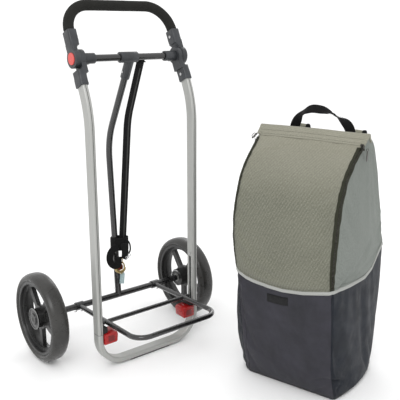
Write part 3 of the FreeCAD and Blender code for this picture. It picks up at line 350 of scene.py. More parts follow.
def unit(vectors):
    return vectors / np.maximum(np.linalg.norm(vectors, axis=-1, keepdims=True), 1e-12)


def lengths(points):
    """Distance along a line of points."""
    steps = np.linalg.norm(np.diff(points, axis=0), axis=1)
    return np.concatenate([[0.0], np.cumsum(steps)])


def headings(points, closed=False):
    """Unit tangents of a line of points."""
    if closed:
        return unit(np.roll(points, -1, 0) - np.roll(points, 1, 0))
    return unit(np.gradient(points, axis=0))


def spline(points, count, closed=False):
    """Smooth line through points, evenly spaced."""
    points = np.asarray(points, float)
    if closed:
        points = np.vstack([points[-1], points, points[:2]])
    else:
        points = np.vstack([2 * points[0] - points[1], points, 2 * points[-1] - points[-2]])
    line = []
    for a, b, c, d in zip(points, points[1:], points[2:], points[3:]):
        for t in np.linspace(0, 1, 24, endpoint=False):
            line.append(0.5 * (2 * b + (c - a) * t + (2 * a - 5 * b + 4 * c - d) * t * t
                               + (3 * b - a - 3 * c + d) * t ** 3))
    line.append(points[-2])
    line = np.array(line)
    way = lengths(line)
    even = np.linspace(0, way[-1], count + 1 if closed else count)
    line = np.stack([np.interp(even, way, line[:, axis]) for axis in range(line.shape[1])], 1)
    return line[:-1] if closed else line


def bent(points, radius, step=0.006):
    """Straight runs joined by tangent arcs, as dense points."""
    points = [np.array(p, float) for p in points]
    line = [points[0]]
    for before, corner, after in zip(points, points[1:], points[2:]):
        inward, outward = unit(before - corner), unit(after - corner)
        half = math.acos(max(-1.0, min(1.0, float(inward @ outward)))) / 2
        trim = radius / math.tan(half)
        centre = corner + unit(inward + outward) * radius / math.sin(half)
        start = corner + inward * trim
        turn = math.pi - 2 * half
        from_centre, toward = start - centre, -inward
        for t in np.linspace(0, turn, max(6, int(radius * turn / step))):
            line.append(centre + from_centre * math.cos(t) + toward * radius * math.sin(t))
    line.append(points[-1])
    filled = [line[0]]
    for a, b in zip(line, line[1:]):
        gap = np.linalg.norm(b - a)
        if gap < 1e-6:
            continue
        parts = max(1, int(gap / (4 * step)))
        filled.extend(a + (b - a) * k / parts for k in range(1, parts + 1))
    return np.array(filled)


def rounded_box(width, height, corner, arc=5, grooves=()):
    """Outline of a rounded rectangle, counter-clockwise.

    A groove is (x, half width, depth) on the low side.
    """
    outline = []
    for cx, cy, start in ((1, -1, -90), (1, 1, 0), (-1, 1, 90), (-1, -1, 180)):
        for k in range(arc + 1):
            angle = math.radians(start + 90 * k / arc)
            outline.append((cx * (width / 2 - corner) + corner * math.cos(angle),
                            cy * (height / 2 - corner) + corner * math.sin(angle)))
    for x, half, depth in grooves:
        low = -height / 2
        outline.extend([(x - half, low), (x - half * 0.4, low + depth), (x + half * 0.4, low + depth),
                        (x + half, low)])
    return np.array(outline)


def circle(radius, count=20):
    angles = np.linspace(0, 2 * math.pi, count, endpoint=False)
    return np.stack([radius * np.cos(angles), radius * np.sin(angles)], 1)


def sweep(name, line, outline, side, paint, closed=False, caps=True, scale=None):
    """Skin of an outline moved along a line. The outline's first axis points along side, which may change."""
    line = np.asarray(line, float)
    ahead = headings(line, closed)
    side = np.broadcast_to(np.asarray(side, float), line.shape)
    side = unit(side - ahead * np.sum(side * ahead, 1, keepdims=True))
    over = np.cross(ahead, side)
    count, around = len(line), len(outline)
    size = np.ones(count) if scale is None else np.asarray(scale, float)
    vertices = (line[:, None] + side[:, None] * (outline[None, :, :1] * size[:, None, None])
                + over[:, None] * (outline[None, :, 1:] * size[:, None, None])).reshape(-1, 3)
    rows = count if closed else count - 1
    faces = []
    for row in range(rows):
        low, high = row * around, (row + 1) % count * around
        for k in range(around):
            after = (k + 1) % around
            faces.append((low + k, low + after, high + after, high + k))
    if caps and not closed:
        faces.append(tuple(range(around))[::-1])
        faces.append(tuple((count - 1) * around + k for k in range(around)))
    girth = lengths(np.vstack([outline, outline[:1]]))[:-1]
    way = lengths(line)
    uv = np.stack([np.tile(girth, count), np.repeat(way, around)], 1)
    made = piece(name, vertices, faces, paint, uv)
    crisp(made)
    return made


def crisp(made, angle=35.0):
    """Smooth shading that stays sharp over edges steeper than an angle."""
    made.data.set_sharp_from_angle(angle=math.radians(angle))


def turned(name, outline, centre, axis, paint, count=96):
    """Body of revolution: outline of (radius, distance along the axis), closed or ending on the axis."""
    axis = Vector(axis).normalized()
    first = axis.orthogonal().normalized()
    second = axis.cross(first)
    vertices, faces = [], []
    for radius, along in outline:
        for k in range(count):
            angle = 2 * math.pi * k / count
            out = first * math.cos(angle) + second * math.sin(angle)
            vertices.append(Vector(centre) + axis * along + out * max(radius, 1e-5))
    last = len(outline)
    rows = range(last if outline[0][0] > 1e-4 else last - 1)
    for row in rows:
        low, high = row * count, (row + 1) % last * count
        for k in range(count):
            after = (k + 1) % count
            faces.append((low + k, low + after, high + after, high + k))
    made = piece(name, vertices, faces, paint)
    merge(made)
    crisp(made, 28.0)
    return made


def merge(made, gap=2e-5):
    """Join vertices that lie on each other and turn the faces outward."""
    shape = bmesh.new()
    shape.from_mesh(made.data)
    bmesh.ops.remove_doubles(shape, verts=shape.verts, dist=gap)
    bmesh.ops.dissolve_degenerate(shape, edges=shape.edges, dist=gap / 4)
    bmesh.ops.recalc_face_normals(shape, faces=shape.faces)
    shape.to_mesh(made.data)
    shape.free()
    made.data.polygons.foreach_set("use_smooth", [True] * len(made.data.polygons))


def stand_for(made, body, slot, *nodes):
    """The piece rides on a body and stands for CAD nodes, which it hides; the slot argument is not used."""
    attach(made, body)
    if nodes:
        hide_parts(*nodes)
    return made


# ---------------------------------------------------------------- bag: shell

BAG_PLACE = Matrix.Translation((0.290, -0.3515, 0)) @ Matrix.Rotation(math.radians(-75), 4, "Z")
BAG_TURN = np.array(BAG_PLACE.to_3x3())
BAG_SHIFT = np.array(BAG_PLACE.translation)
# Height, half width, reach to the front, reach to the back.
BAG_PROFILE = np.array([
    (0.000, 0.1290, 0.110, 0.107), (0.004, 0.1325, 0.115, 0.113), (0.012, 0.1355, 0.121, 0.118),
    (0.050, 0.1355, 0.136, 0.122), (0.100, 0.1350, 0.149, 0.131), (0.150, 0.1345, 0.153, 0.140),
    (0.200, 0.1345, 0.156, 0.146), (0.250, 0.1340, 0.160, 0.151), (0.300, 0.1335, 0.167, 0.152),
    (0.350, 0.1350, 0.175, 0.147), (0.400, 0.1378, 0.179, 0.126), (0.450, 0.1395, 0.177, 0.108),
    (0.500, 0.1390, 0.168, 0.092), (0.550, 0.1390, 0.150, 0.073), (0.580, 0.1390, 0.129, 0.060),
    (0.600, 0.1392, 0.108, 0.049), (0.620, 0.1400, 0.084, 0.035), (0.640, 0.1408, 0.061, 0.012),
    (0.650, 0.1415, 0.050, -0.007), (0.658, 0.1430, 0.0405, -0.0275)])
BAG_TOP = BAG_PROFILE[-1, 0]
FRONT, SIDE, BACK, CORNER = 46, 34, 36, 8
ROWS_LOW, ROWS_UP = 46, 62
# First column of each stretch, going round from the left end of the front.
STARTS = np.cumsum([0, FRONT, CORNER, SIDE, CORNER, BACK, CORNER, SIDE])
COLUMNS = int(STARTS[-1] + CORNER)
RIGHT_SEAM = int(STARTS[1] + CORNER // 2)
LEFT_SEAM = int(STARTS[7] + CORNER // 2)


def to_frame(points):
    """Points of the bag's own frame in the model's frame."""
    return np.asarray(points, float) @ BAG_TURN.T + BAG_SHIFT


def soft_table(values, table, width=0.006):
    """A table's column smoothed along the height."""
    fine = np.linspace(-0.05, 0.75, 1601)
    line = np.interp(fine, table[0], table[1])
    reach = np.arange(-40, 41) * (fine[1] - fine[0])
    weights = np.exp(-0.5 * (reach / width) ** 2)
    line = np.convolve(np.pad(line, 40, "edge"), weights / weights.sum(), "valid")
    return np.interp(values, fine, line)


def reach_at(height, column):
    return soft_table(height, (BAG_PROFILE[:, 0], BAG_PROFILE[:, column]))


def bulge(height, low, middle, high):
    """A value that is none at the bottom and the top, with a level for each third between."""
    return np.interp(height, [0.0, 0.06, 0.2, 0.42, 0.6, 0.658], [0.0, low, low, middle, high, 0.0])


def split_height(column):
    """Height of the piping round the bag."""
    marks = [0, 4, 8, 16, 24, 34, FRONT, RIGHT_SEAM, STARTS[2], STARTS[2] + 8, STARTS[2] + 19,
             STARTS[2] + 25,
             STARTS[2] + 30, STARTS[3], STARTS[4], STARTS[5], STARTS[6], STARTS[6] + 4, STARTS[6] + 9,
             STARTS[6] + 15,
             STARTS[6] + 26, STARTS[7], LEFT_SEAM, COLUMNS]
    heights = [0.303, 0.294, 0.290, 0.286, 0.285, 0.291, 0.305, 0.308, 0.308, 0.301, 0.295, 0.304,
               0.330, 0.348, 0.348, 0.344, 0.339, 0.320, 0.298, 0.292,
               0.298, 0.306, 0.309, 0.303]
    return np.interp(column, marks, heights)


def bag_outline(height):
    """Points of the bag at one height for each column, in the bag's own frame."""
    half, front, back = (reach_at(height, k) for k in (1, 2, 3))
    crown = bulge(height, 0.004, 0.012, 0.006)
    swell = np.interp(height, [0.0, 0.05, 0.18, 0.30, 0.42, 0.60, 0.658],
                      [0.011, 0.015, 0.013, 0.007, 0.004, 0.001, 0.0])
    slim = (front + back) * 0.42
    left_swell = np.interp(height, [0.0, 0.02, 0.05, 0.12, 0.18, 0.26, 0.32, 0.42, 0.60, 0.658],
                           [0.018, 0.026, 0.0285, 0.028, 0.026, 0.016, 0.009, 0.005, 0.001, 0.0])
    back_corner = np.interp(height, [0.0, 0.1, 0.3, 0.5, 0.66], [0.024, 0.022, 0.021, 0.019, 0.010])
    left_corner = np.interp(height, [0.0, 0.04, 0.13, 0.24, 0.30, 0.36],
                            [0.016, 0.030, 0.026, 0.013, 0.010, 0.006])
    right_corner = np.interp(height, [0.0, 0.28, 0.36], [0.011, 0.011, 0.007])
    right_front, right_back, left_back, left_front = (min(radius, slim) for radius in
                                                      (right_corner, back_corner, back_corner, left_corner))
    points = np.zeros((COLUMNS, 3))
    points[:, 2] = height

    def run(start, count, a, b, out, rise, late=1.0):
        share = np.linspace(0, 1, count, endpoint=False)
        line = np.outer(1 - share, a) + np.outer(share, b)
        line += np.outer(rise * np.sin(math.pi * share ** late) ** 0.8, out)
        points[start:start + count, :2] = line

    def arc(start, centre, radius, begin):
        angles = np.radians(begin + 90 * np.arange(CORNER) / CORNER)
        points[start:start + CORNER, 0] = centre[0] + radius * np.cos(angles)
        points[start:start + CORNER, 1] = centre[1] + radius * np.sin(angles)

    run(STARTS[0], FRONT, (-half + left_front, -front), (half - right_front, -front), (0, -1), crown)
    arc(STARTS[1], (half - right_front, -front + right_front), right_front, -90)
    run(STARTS[2], SIDE, (half, -front + right_front), (half, back - right_back), (1, 0), swell)
    arc(STARTS[3], (half - right_back, back - right_back), right_back, 0)
    run(STARTS[4], BACK, (half - right_back, back), (-half + left_back, back), (0, 1), crown * 0.4)
    arc(STARTS[5], (-half + left_back, back - left_back), left_back, 90)
    run(STARTS[6], SIDE, (-half, back - left_back), (-half, -front + left_front), (-1, 0), left_swell, 5.0)
    arc(STARTS[7], (-half + left_front, -front + left_front), left_front, 180)
    return points


# First column and count of columns of the panels that fold.
SEAM_SIDE = (STARTS[1] + 4, SIDE)
FRONT_PANEL = (STARTS[0], FRONT)
RIGHT_PANEL = (STARTS[2], SIDE)
BACK_PANEL = (STARTS[4], BACK)
LEFT_PANEL = (STARTS[6], SIDE)
# Listed folds: panel, share along it, height, slope, half length, half width, depth.
FOLDS = [
    (SEAM_SIDE, 0.12, 0.062, -0.25, 0.030, 0.006, -0.0100),
    (FRONT_PANEL, 0.93, 0.066, 0.15, 0.030, 0.007, -0.0045),
    (RIGHT_PANEL, 0.05, 0.040, 0.5, 0.020, 0.005, -0.0040),
    (RIGHT_PANEL, 0.22, 0.338, 0.9, 0.040, 0.007, -0.0035),
    (RIGHT_PANEL, 0.36, 0.352, 0.9, 0.050, 0.008, -0.0040),
    (RIGHT_PANEL, 0.52, 0.372, 1.1, 0.045, 0.009, -0.0035),
    (RIGHT_PANEL, 0.14, 0.318, 0.5, 0.026, 0.006, -0.0040),
    (RIGHT_PANEL, 0.66, 0.060, -1.1, 0.040, 0.009, -0.0040),
    (RIGHT_PANEL, 0.80, 0.085, -1.3, 0.050, 0.010, -0.0040),
    (RIGHT_PANEL, 0.55, 0.140, -2.0, 0.060, 0.016, -0.0030),
    (FRONT_PANEL, 0.80, 0.160, -0.8, 0.070, 0.014, -0.0030),
    (FRONT_PANEL, 0.22, 0.110, 1.4, 0.060, 0.014, -0.0030),
    (FRONT_PANEL, 0.12, 0.230, 1.8, 0.050, 0.012, -0.0025),
    (FRONT_PANEL, 0.84, 0.545, 0.9, 0.050, 0.013, -0.0035),
    (FRONT_PANEL, 0.40, 0.600, 0.3, 0.060, 0.012, -0.0020),
    (BACK_PANEL, 0.30, 0.120, 0.9, 0.070, 0.014, -0.0040),
    (BACK_PANEL, 0.70, 0.150, -0.9, 0.070, 0.014, -0.0040),
    (BACK_PANEL, 0.50, 0.420, 0.2, 0.080, 0.014, -0.0035),
    (LEFT_PANEL, 0.40, 0.100, 1.2, 0.050, 0.012, -0.0040),
    (LEFT_PANEL, 0.60, 0.360, -0.9, 0.050, 0.010, -0.0040),
    (LEFT_PANEL, 0.30, 0.440, 0.9, 0.060, 0.012, -0.0035),
]


def surface_normals(grid):
    """Outward normals of a grid that closes round in its columns."""
    along = np.gradient(grid, axis=0)
    around = np.roll(grid, -1, 1) - np.roll(grid, 1, 1)
    return unit(np.cross(around, along))


def bag_grid():
    """Rest shape of the bag: rows upward, columns round, with its folds and the pinched front seam."""
    columns = np.arange(COLUMNS)
    split = split_height(columns)
    low = np.linspace(0, 1, ROWS_LOW + 1) ** 1.15
    up = np.linspace(0, 1, ROWS_UP + 1)[1:]
    heights = np.vstack([low[:, None] * split, split + up[:, None] * (BAG_TOP - split)])
    levels = np.linspace(0, BAG_TOP, 331)
    table = np.array([bag_outline(level) for level in levels])
    grid = np.empty((len(heights), COLUMNS, 3))
    for column in columns:
        for axis in range(2):
            grid[:, column, axis] = np.interp(heights[:, column], levels, table[:, column, axis])
    grid[:, :, 2] = heights
    normals = surface_normals(grid)
    push = np.zeros(heights.shape)
    for (start, count), share, height, slope, long, wide, depth in FOLDS:
        offset = (columns - start) / count
        near = (offset > -0.35) & (offset < 1.35)
        span = np.linalg.norm(grid[20, (start + count - 1) % COLUMNS] - grid[20, start % COLUMNS])
        aside = (offset - share) * span
        above = heights - height
        direction = math.atan(slope)
        along = aside * math.cos(direction) + above * math.sin(direction)
        across = -aside * math.sin(direction) + above * math.cos(direction) + 2.5 * along ** 2
        crease = np.exp(-(across / wide) ** 2) - 0.55 * np.exp(-((across - 2 * wide) / (1.4 * wide)) ** 2)
        push += np.where(near, depth * crease * np.exp(-(along / long) ** 2), 0)
    calm = np.clip((BAG_TOP - heights) / 0.05, 0, 1) * np.clip(heights / 0.02, 0, 1)
    grid += normals * (push * calm)[..., None]
    for seam in (RIGHT_SEAM, LEFT_SEAM):
        pinch = np.exp(-((columns - seam) / 0.8) ** 2) * 0.0022
        grid -= normals * (pinch * (heights < split) * np.clip(heights / 0.02, 0, 1))[..., None]
    return grid, heights


def bag_girth(grid):
    """Distance round the bag from the first column, at the height of the piping."""
    ring = grid[ROWS_LOW]
    return lengths(np.vstack([ring, ring[:1]]))


def grid_faces(rows, first=0, last=None):
    """Quads of a grid that closes round, between two rows."""
    last = rows - 1 if last is None else last
    faces = []
    for row in range(first, last):
        for column in range(COLUMNS):
            after = (column + 1) % COLUMNS
            low, high = row * COLUMNS, (row + 1) * COLUMNS
            faces.append((low + column, low + after, high + after, high + column))
    return faces


def settle(grid):
    """Let the cloth of the bag slacken between its seams and settle; seams, floor and hem hold it."""
    rows = len(grid)
    made = piece("bag_cloth_form", grid.reshape(-1, 3), grid_faces(rows), "lower_fabric")
    hold = np.zeros((rows, COLUMNS))
    hold[:2] = 1.0
    hold[ROWS_LOW - 1:ROWS_LOW + 2] = 1.0
    hold[-4:] = 1.0
    for seam in (RIGHT_SEAM, LEFT_SEAM):
        hold[:, seam - 1:seam + 2] = 1.0
    for seam in (STARTS[3] + CORNER // 2, STARTS[5] + CORNER // 2):
        hold[:, seam] = np.maximum(hold[:, seam], 0.6)
    pins = made.vertex_groups.new(name="pins")
    for index, weight in enumerate(hold.ravel()):
        if weight > 0:
            pins.add([index], float(weight), "REPLACE")
    cloth = made.modifiers.new("Cloth", "CLOTH")
    rules = cloth.settings
    rules.quality = 5
    rules.mass = 0.25
    rules.tension_stiffness = rules.compression_stiffness = 25
    rules.shear_stiffness = 12
    rules.bending_stiffness = 4.0
    rules.vertex_group_mass = "pins"
    rules.use_pressure = True
    rules.uniform_pressure_force = 1.6
    rules.shrink_min = -0.006
    rules.effector_weights.gravity = 0.5
    cloth.collision_settings.use_collision = False
    cloth.point_cache.frame_start, cloth.point_cache.frame_end = 1, 20
    scene = bpy.context.scene
    for step in range(1, 21):
        scene.frame_set(step)
    graph = bpy.context.evaluated_depsgraph_get()
    settled = made.evaluated_get(graph).to_mesh()
    places = np.empty(len(settled.vertices) * 3)
    settled.vertices.foreach_get("co", places)
    made.evaluated_get(graph).to_mesh_clear()
    bpy.data.objects.remove(made)
    scene.frame_set(1)
    moved = places.reshape(grid.shape) - grid
    far = np.linalg.norm(moved, axis=2, keepdims=True)
    limit = 0.009
    return grid + moved * np.minimum(1, limit / np.maximum(far, 1e-9))


bag_rest, bag_heights = bag_grid()
bag_shape = settle(bag_rest)
bag_shape[:, :, 2] = np.maximum(bag_shape[:, :, 2], 0.0)
bag_normals = surface_normals(bag_shape)
bag_around = bag_girth(bag_rest)


def bag_skin(name, first, last, paints, floor=False, roof=False):
    """One part of the bag's cloth, from one row to another, as a thin closed layer."""
    rows = last - first + 1
    up = np.cumsum(np.vstack([np.zeros(COLUMNS), np.linalg.norm(np.diff(bag_rest, axis=0), axis=2)]), 0)
    columns = np.arange(COLUMNS + 1)
    # The first column comes again at the end, so that the weave has a seam and no smeared strip.
    wrapped = np.concatenate([bag_shape[first:last + 1], bag_shape[first:last + 1, :1]], 1)
    uv = np.stack(np.broadcast_arrays(bag_around[None, :],
                                      np.concatenate([up, up[:, :1]], 1)[first:last + 1]), 2)
    faces, kinds = [], []
    wide = COLUMNS + 1
    for row in range(rows - 1):
        for column in columns[:-1]:
            low, high = row * wide, (row + 1) * wide
            faces.append((low + column, low + column + 1, high + column + 1, high + column))
            # Front columns take the first paint; side, back and cap faces take the second, the lit copy of
            # the upper cloth and the shaded copy of the lower cloth.
            kinds.append(0 if column < RIGHT_SEAM or column >= LEFT_SEAM else 1)
    vertices = list(wrapped.reshape(-1, 3))
    uv = list(uv.reshape(-1, 2))
    for closed, row in ((floor, 0), (roof, rows - 1)):
        if closed:
            ring = [row * wide + k for k in range(COLUMNS)]
            centre = np.mean([vertices[k] for k in ring], 0)
            rings = [ring]
            for share in (0.75, 0.5, 0.25):
                rings.append(list(range(len(vertices), len(vertices) + COLUMNS)))
                for k in ring:
                    spot = centre + (vertices[k] - centre) * share
                    vertices.append(spot)
                    uv.append((spot[0], spot[1]))
            tip = len(vertices)
            vertices.append(centre)
            uv.append((centre[0], centre[1]))
            for outer, inner in zip(rings, rings[1:] + [[tip] * COLUMNS]):
                for k in range(COLUMNS):
                    after = (k + 1) % COLUMNS
                    quad = [outer[k], inner[k], inner[after], outer[after]]
                    quad = quad if row == 0 else quad[::-1]
                    faces.append(tuple(dict.fromkeys(quad)))
                    kinds.append(1)
    made = piece(name, to_frame(vertices), faces, paints[0], uv)
    made.data.materials.append(PAINTS[paints[1]])
    made.data.polygons.foreach_set("material_index", kinds)
    thick = made.modifiers.new("cloth_thickness", "SOLIDIFY")
    thick.thickness = 0.0012
    thick.offset = -1
    return made


lower_cloth = bag_skin("bag_lower_cloth", 0, ROWS_LOW, ("lower_fabric", "lower_side_shaded"), floor=True)
stand_for(lower_cloth, "bag", "lower_fabric", "bag_lower")
upper_cloth = bag_skin("bag_upper_cloth", ROWS_LOW, ROWS_LOW + ROWS_UP, ("upper_fabric", "melange_side_lit"),
                       roof=True)
stand_for(upper_cloth, "bag", "upper_fabric", "bag_upper")


# ---------------------------------------------------------------- bag: what is sewn on it

def row_strip(row, column, offsets, lift):
    """Points beside a place on one row of the bag, at distances round it, raised off the cloth."""
    ring = bag_shape[row]
    turn = np.arange(-14, 15) + column
    line = ring[turn % COLUMNS]
    out = bag_normals[row][turn % COLUMNS]
    way = lengths(line) - lengths(line)[14]
    points = np.stack([np.interp(offsets, way, line[:, k]) for k in range(3)], 1)
    normal = unit(np.stack([np.interp(offsets, way, out[:, k]) for k in range(3)], 1))
    return points + normal * np.asarray(lift)[:, None], normal


def column_strip(column, row, offsets, lift):
    """Points above and below a place on one column of the bag, raised off the cloth."""
    rows = np.arange(max(0, row - 10), min(len(bag_shape), row + 11))
    line = bag_shape[rows, column % COLUMNS]
    out = bag_normals[rows, column % COLUMNS]
    way = lengths(line) - lengths(line)[list(rows).index(row)]
    points = np.stack([np.interp(offsets, way, line[:, k]) for k in range(3)], 1)
    normal = unit(np.stack([np.interp(offsets, way, out[:, k]) for k in range(3)], 1))
    return points + normal * np.asarray(lift)[:, None]


def layer(name, rows, paint, uv_scale, closed=False):
    """Closed ribbon from rows of points that go round its cross-section."""
    rows = np.asarray(rows)
    count, around = rows.shape[:2]
    faces = []
    for row in range(count if closed else count - 1):
        low, high = row * around, (row + 1) % count * around
        for k in range(around):
            after = (k + 1) % around
            faces.append((low + k, high + k, high + after, low + after))
    if not closed:
        faces.append(tuple(range(around)))
        faces.append(tuple((count - 1) * around + k for k in range(around))[::-1])
    way = lengths(rows[:, 0])
    girth = lengths(rows[0])
    uv = np.stack(np.meshgrid(girth, way), 2).reshape(-1, 2) * uv_scale
    made = piece(name, to_frame(rows.reshape(-1, 3)), faces, paint, uv)
    merge(made)
    crisp(made, 50.0)
    return made


def piping():
    """Light cord-like edging between the lower and the upper cloth."""
    half, rise, sink = 0.0048, 0.0022, -0.0012
    offsets = np.array([-half, -half * 0.8, -half * 0.3, half * 0.3, half * 0.8, half, half * 0.9,
                        -half * 0.9])
    lift = np.array([0.0004, rise * 0.7, rise, rise, rise * 0.7, 0.0004, sink, sink])
    rows = [column_strip(column, ROWS_LOW, offsets, lift) for column in range(COLUMNS)]
    return stand_for(layer("bag_piping", rows, "piping", 1.0, closed=True), "bag", "webbing")


# Distance of the middle of each zip tape from the front corner, toward the right going round.
ZIP_SHIFT = {"left": -0.0035, "right": 0.0}


def zip_half_width(row):
    return float(np.interp(bag_heights[row, RIGHT_SEAM], [0.30, 0.36, 0.5, 0.64],
                           [0.0055, 0.0075, 0.0095, 0.0105]))


def zip_rows():
    return range(ROWS_LOW + 1, ROWS_LOW + ROWS_UP - 3)


def zip_tape(side, seam):
    """Zip tape over the front corner, with its turned edges and the ridge that carries the teeth."""
    rows = []
    shift = ZIP_SHIFT[side]
    for row in zip_rows():
        half = zip_half_width(row)
        share = np.array([-1, -0.96, -0.6, -0.25, 0, 0.25, 0.6, 0.96, 1, 0.9, -0.9])
        lift = np.array([0.0003, 0.0014, 0.0013, 0.0012, 0.0012, 0.0012, 0.0013, 0.0014, 0.0003, -0.0011,
                         -0.0011])
        rows.append(row_strip(row, seam, share * half + shift, lift)[0])
    made = layer(f"zip_tape_{side}", rows, "zip_tape", 1.0)
    return stand_for(made, "bag", "zip_tape", f"zip_{side}")


def zip_teeth(side, seam):
    """Two rows of interlocked teeth along the middle of the tape."""
    line, out, across = [], [], []
    for row in zip_rows():
        spots, normal = row_strip(row, seam, np.array([-0.002, 0.0, 0.002]) + ZIP_SHIFT[side],
                                  np.full(3, 0.0012))
        line.append(spots[1])
        out.append(normal[1])
        across.append(spots[2] - spots[0])
    line, out, across = np.array(line), np.array(out), unit(np.array(across))
    way = lengths(line)
    spots = np.arange(0.002, way[-1] - 0.004, 0.0021)
    vertices, faces = [], []
    ahead = headings(line)
    for index, spot in enumerate(spots):
        centre, normal, aside, forward = (np.array([np.interp(spot, way, field[:, k]) for k in range(3)])
                                          for field in (line, out, across, ahead))
        lean = 0.0007 if index % 2 else -0.0007
        first = len(vertices)
        for a, b, c in ((-1, -1, 0), (1, -1, 0), (1, 1, 0), (-1, 1, 0), (-0.7, -0.7, 1), (0.7, -0.7, 1),
                        (0.7, 0.7, 1),
                        (-0.7, 0.7, 1)):
            vertices.append(centre + aside * (a * 0.0016 + lean) + forward * b * 0.00065
                            + normal * c * 0.0011)
        faces.extend(tuple(first + k for k in quad) for quad in
                     ((3, 2, 1, 0), (4, 5, 6, 7), (0, 1, 5, 4), (1, 2, 6, 5), (2, 3, 7, 6), (3, 0, 4, 7)))
    made = piece(f"zip_teeth_{side}", to_frame(vertices), faces, "zip_metal", flat=True)
    return stand_for(made, "bag", "zip_metal")


def stitches(name, line, out, pitch=0.0042, length=0.0028, body="bag", paint="thread", near=0.0002):
    """Row of short raised stitches along a line with its outward normals, in the model's frame."""
    way = lengths(line)
    ahead = headings(line)
    vertices, faces = [], []
    for spot in np.arange(pitch, way[-1] - length, pitch):
        centre, normal, forward = (np.array([np.interp(spot, way, field[:, k]) for k in range(3)])
                                   for field in (line, out, ahead))
        aside = unit(np.cross(forward, normal))
        first = len(vertices)
        for share, width, height in ((-0.5, 0.00018, 0.0), (-0.2, 0.00032, 0.0005), (0.2, 0.00032, 0.0005),
                                     (0.5, 0.00018, 0.0)):
            spine = centre + forward * share * length + normal * (near + height)
            vertices.extend([spine - aside * width, spine + normal * width, spine + aside * width,
                             spine - normal * width])
        for ring in range(3):
            low = first + 4 * ring
            faces.extend((low + k, low + (k + 1) % 4, low + 4 + (k + 1) % 4, low + 4 + k) for k in range(4))
        faces.append((first + 3, first + 2, first + 1, first))
        faces.append(tuple(first + 12 + k for k in range(4)))
    made = piece(name, vertices, faces, paint)
    return stand_for(made, body, "webbing")


piping()
for side, seam in (("left", LEFT_SEAM), ("right", RIGHT_SEAM)):
    zip_tape(side, seam)
    zip_teeth(side, seam)


def local_line(points, count):
    """Smooth line through points of the bag's own frame, in the bag's own frame."""
    return spline(np.array(points, float), count)


def hem():
    """Folded band over the top of the front panel, with its two stitch lines."""
    top = len(bag_shape) - 1
    front = [k % COLUMNS for k in range(STARTS[7] + 4, STARTS[7] + CORNER)]
    front += range(0, int(STARTS[1]) + 5)
    drop = np.array([0.026, 0.0255, 0.020, 0.0135, 0.008, 0.003])
    lift = np.array([0.0002, 0.0019, 0.0016, 0.0021, 0.0017, 0.0019])
    lines = np.array([column_strip(column, top, -drop, lift) for column in front])
    share = lines[:, 0, 0]
    spots = np.linspace(-0.1462, 0.1448, 64)
    lines = np.array([[[np.interp(spot, share, lines[:, k, axis]) for axis in range(3)]
                       for k in range(len(drop))] for spot in spots])
    lines[:, :, 0] = spots[:, None]
    ripple = 0.0008 * np.sin(spots * 55) + 0.0005 * np.sin(spots * 131 + 1)
    roof = np.array([(-0.0415, 0.6608), (-0.0385, 0.6640), (-0.0345, 0.6652), (-0.0302, 0.6640),
                     (-0.0275, 0.6608),
                     (-0.0235, 0.6500), (-0.0185, 0.6420), (-0.0205, 0.6415), (-0.0290, 0.6500),
                     (-0.0340, 0.6560)])
    roofs = np.zeros((len(spots), len(roof), 3))
    roofs[:, :, 0] = spots[:, None]
    roofs[:, :, 1:] = roof
    inner = lines[:, :1] * np.array([1, 1, 1]) + np.array([0, 0.003, 0.0015])
    rows = np.concatenate([lines, roofs, inner], 1)
    rows[:, :, 1] += ripple[:, None]
    rows[:, :len(drop) + 6, 2] += 0.0006 * np.sin(spots * 23 + 2)[:, None]
    rows[:3, :3] += np.array([0.0022, 0, 0.0030])
    made = layer("bag_hem_band", rows, "upper_fabric", 1.0)
    stand_for(made, "bag", "upper_fabric", "bag_hem")
    for number, index in enumerate((2, 4)):
        line = rows[1:-1, index]
        normal = np.broadcast_to(BAG_TURN @ np.array([0, -0.78, 0.62]), line.shape)
        stitches(f"hem_stitches_{number}", to_frame(line), normal, near=0.0)


def seam_stitches(name, row, lift, first, last):
    """Stitch line that follows one row of the bag."""
    columns = [k % COLUMNS for k in range(first, last)]
    line = bag_shape[row, columns] + bag_normals[row, columns] * lift
    stitches(name, to_frame(line), bag_normals[row, columns] @ BAG_TURN.T)


def zip_stitches():
    """Stitching along both edges of each zip tape."""
    for side, seam in (("left", LEFT_SEAM), ("right", RIGHT_SEAM)):
        for edge in (-1, 1):
            line, out = [], []
            for row in zip_rows():
                away = edge * zip_half_width(row) * 0.8 + ZIP_SHIFT[side]
                spot, normal = row_strip(row, seam, np.array([away]), np.array([0.0014]))
                line.append(spot[0])
                out.append(normal[0])
            stitches(f"zip_stitches_{side}_{'front' if edge < 0 else 'side'}", to_frame(line),
                     np.array(out) @ BAG_TURN.T, near=-0.0001)


def corner_piping():
    """Narrow raised seam down each front edge of the lower cloth."""
    for side, seam in (("left", LEFT_SEAM), ("right", RIGHT_SEAM)):
        rows = []
        for row in range(1, ROWS_LOW - 1):
            share = np.array([-1, -0.7, 0, 0.7, 1, 0.8, -0.8]) * 0.0022
            lift = np.array([0.0002, 0.0016, 0.0022, 0.0016, 0.0002, -0.001, -0.001])
            rows.append(row_strip(row, seam, share, lift)[0])
        # The corner seams take the shaded copy of the lower cloth, which carries painted shade.
        stand_for(layer(f"corner_seam_{side}", rows, "lower_side_shaded", 1.0), "bag", "lower_fabric")


VIEW = unit(np.linalg.inv(BAG_TURN) @ np.array([-0.608, -0.7515, 0.256]))
HANDLE_LINE = [(-68, 636), (-68.5, 652), (-66.5, 666), (-60, 680), (-48, 695.5), (-33, 704.5), (-18, 708),
               (4, 706.5), (22, 702), (38, 697), (53, 690), (68, 680.5), (78.5, 669), (83, 656), (83, 636)]
HANDLE_TURNS = [0, 0, 5, 35, 72, 48, 27, 27, 55, 88, 62, 20, 0, 0, 0]


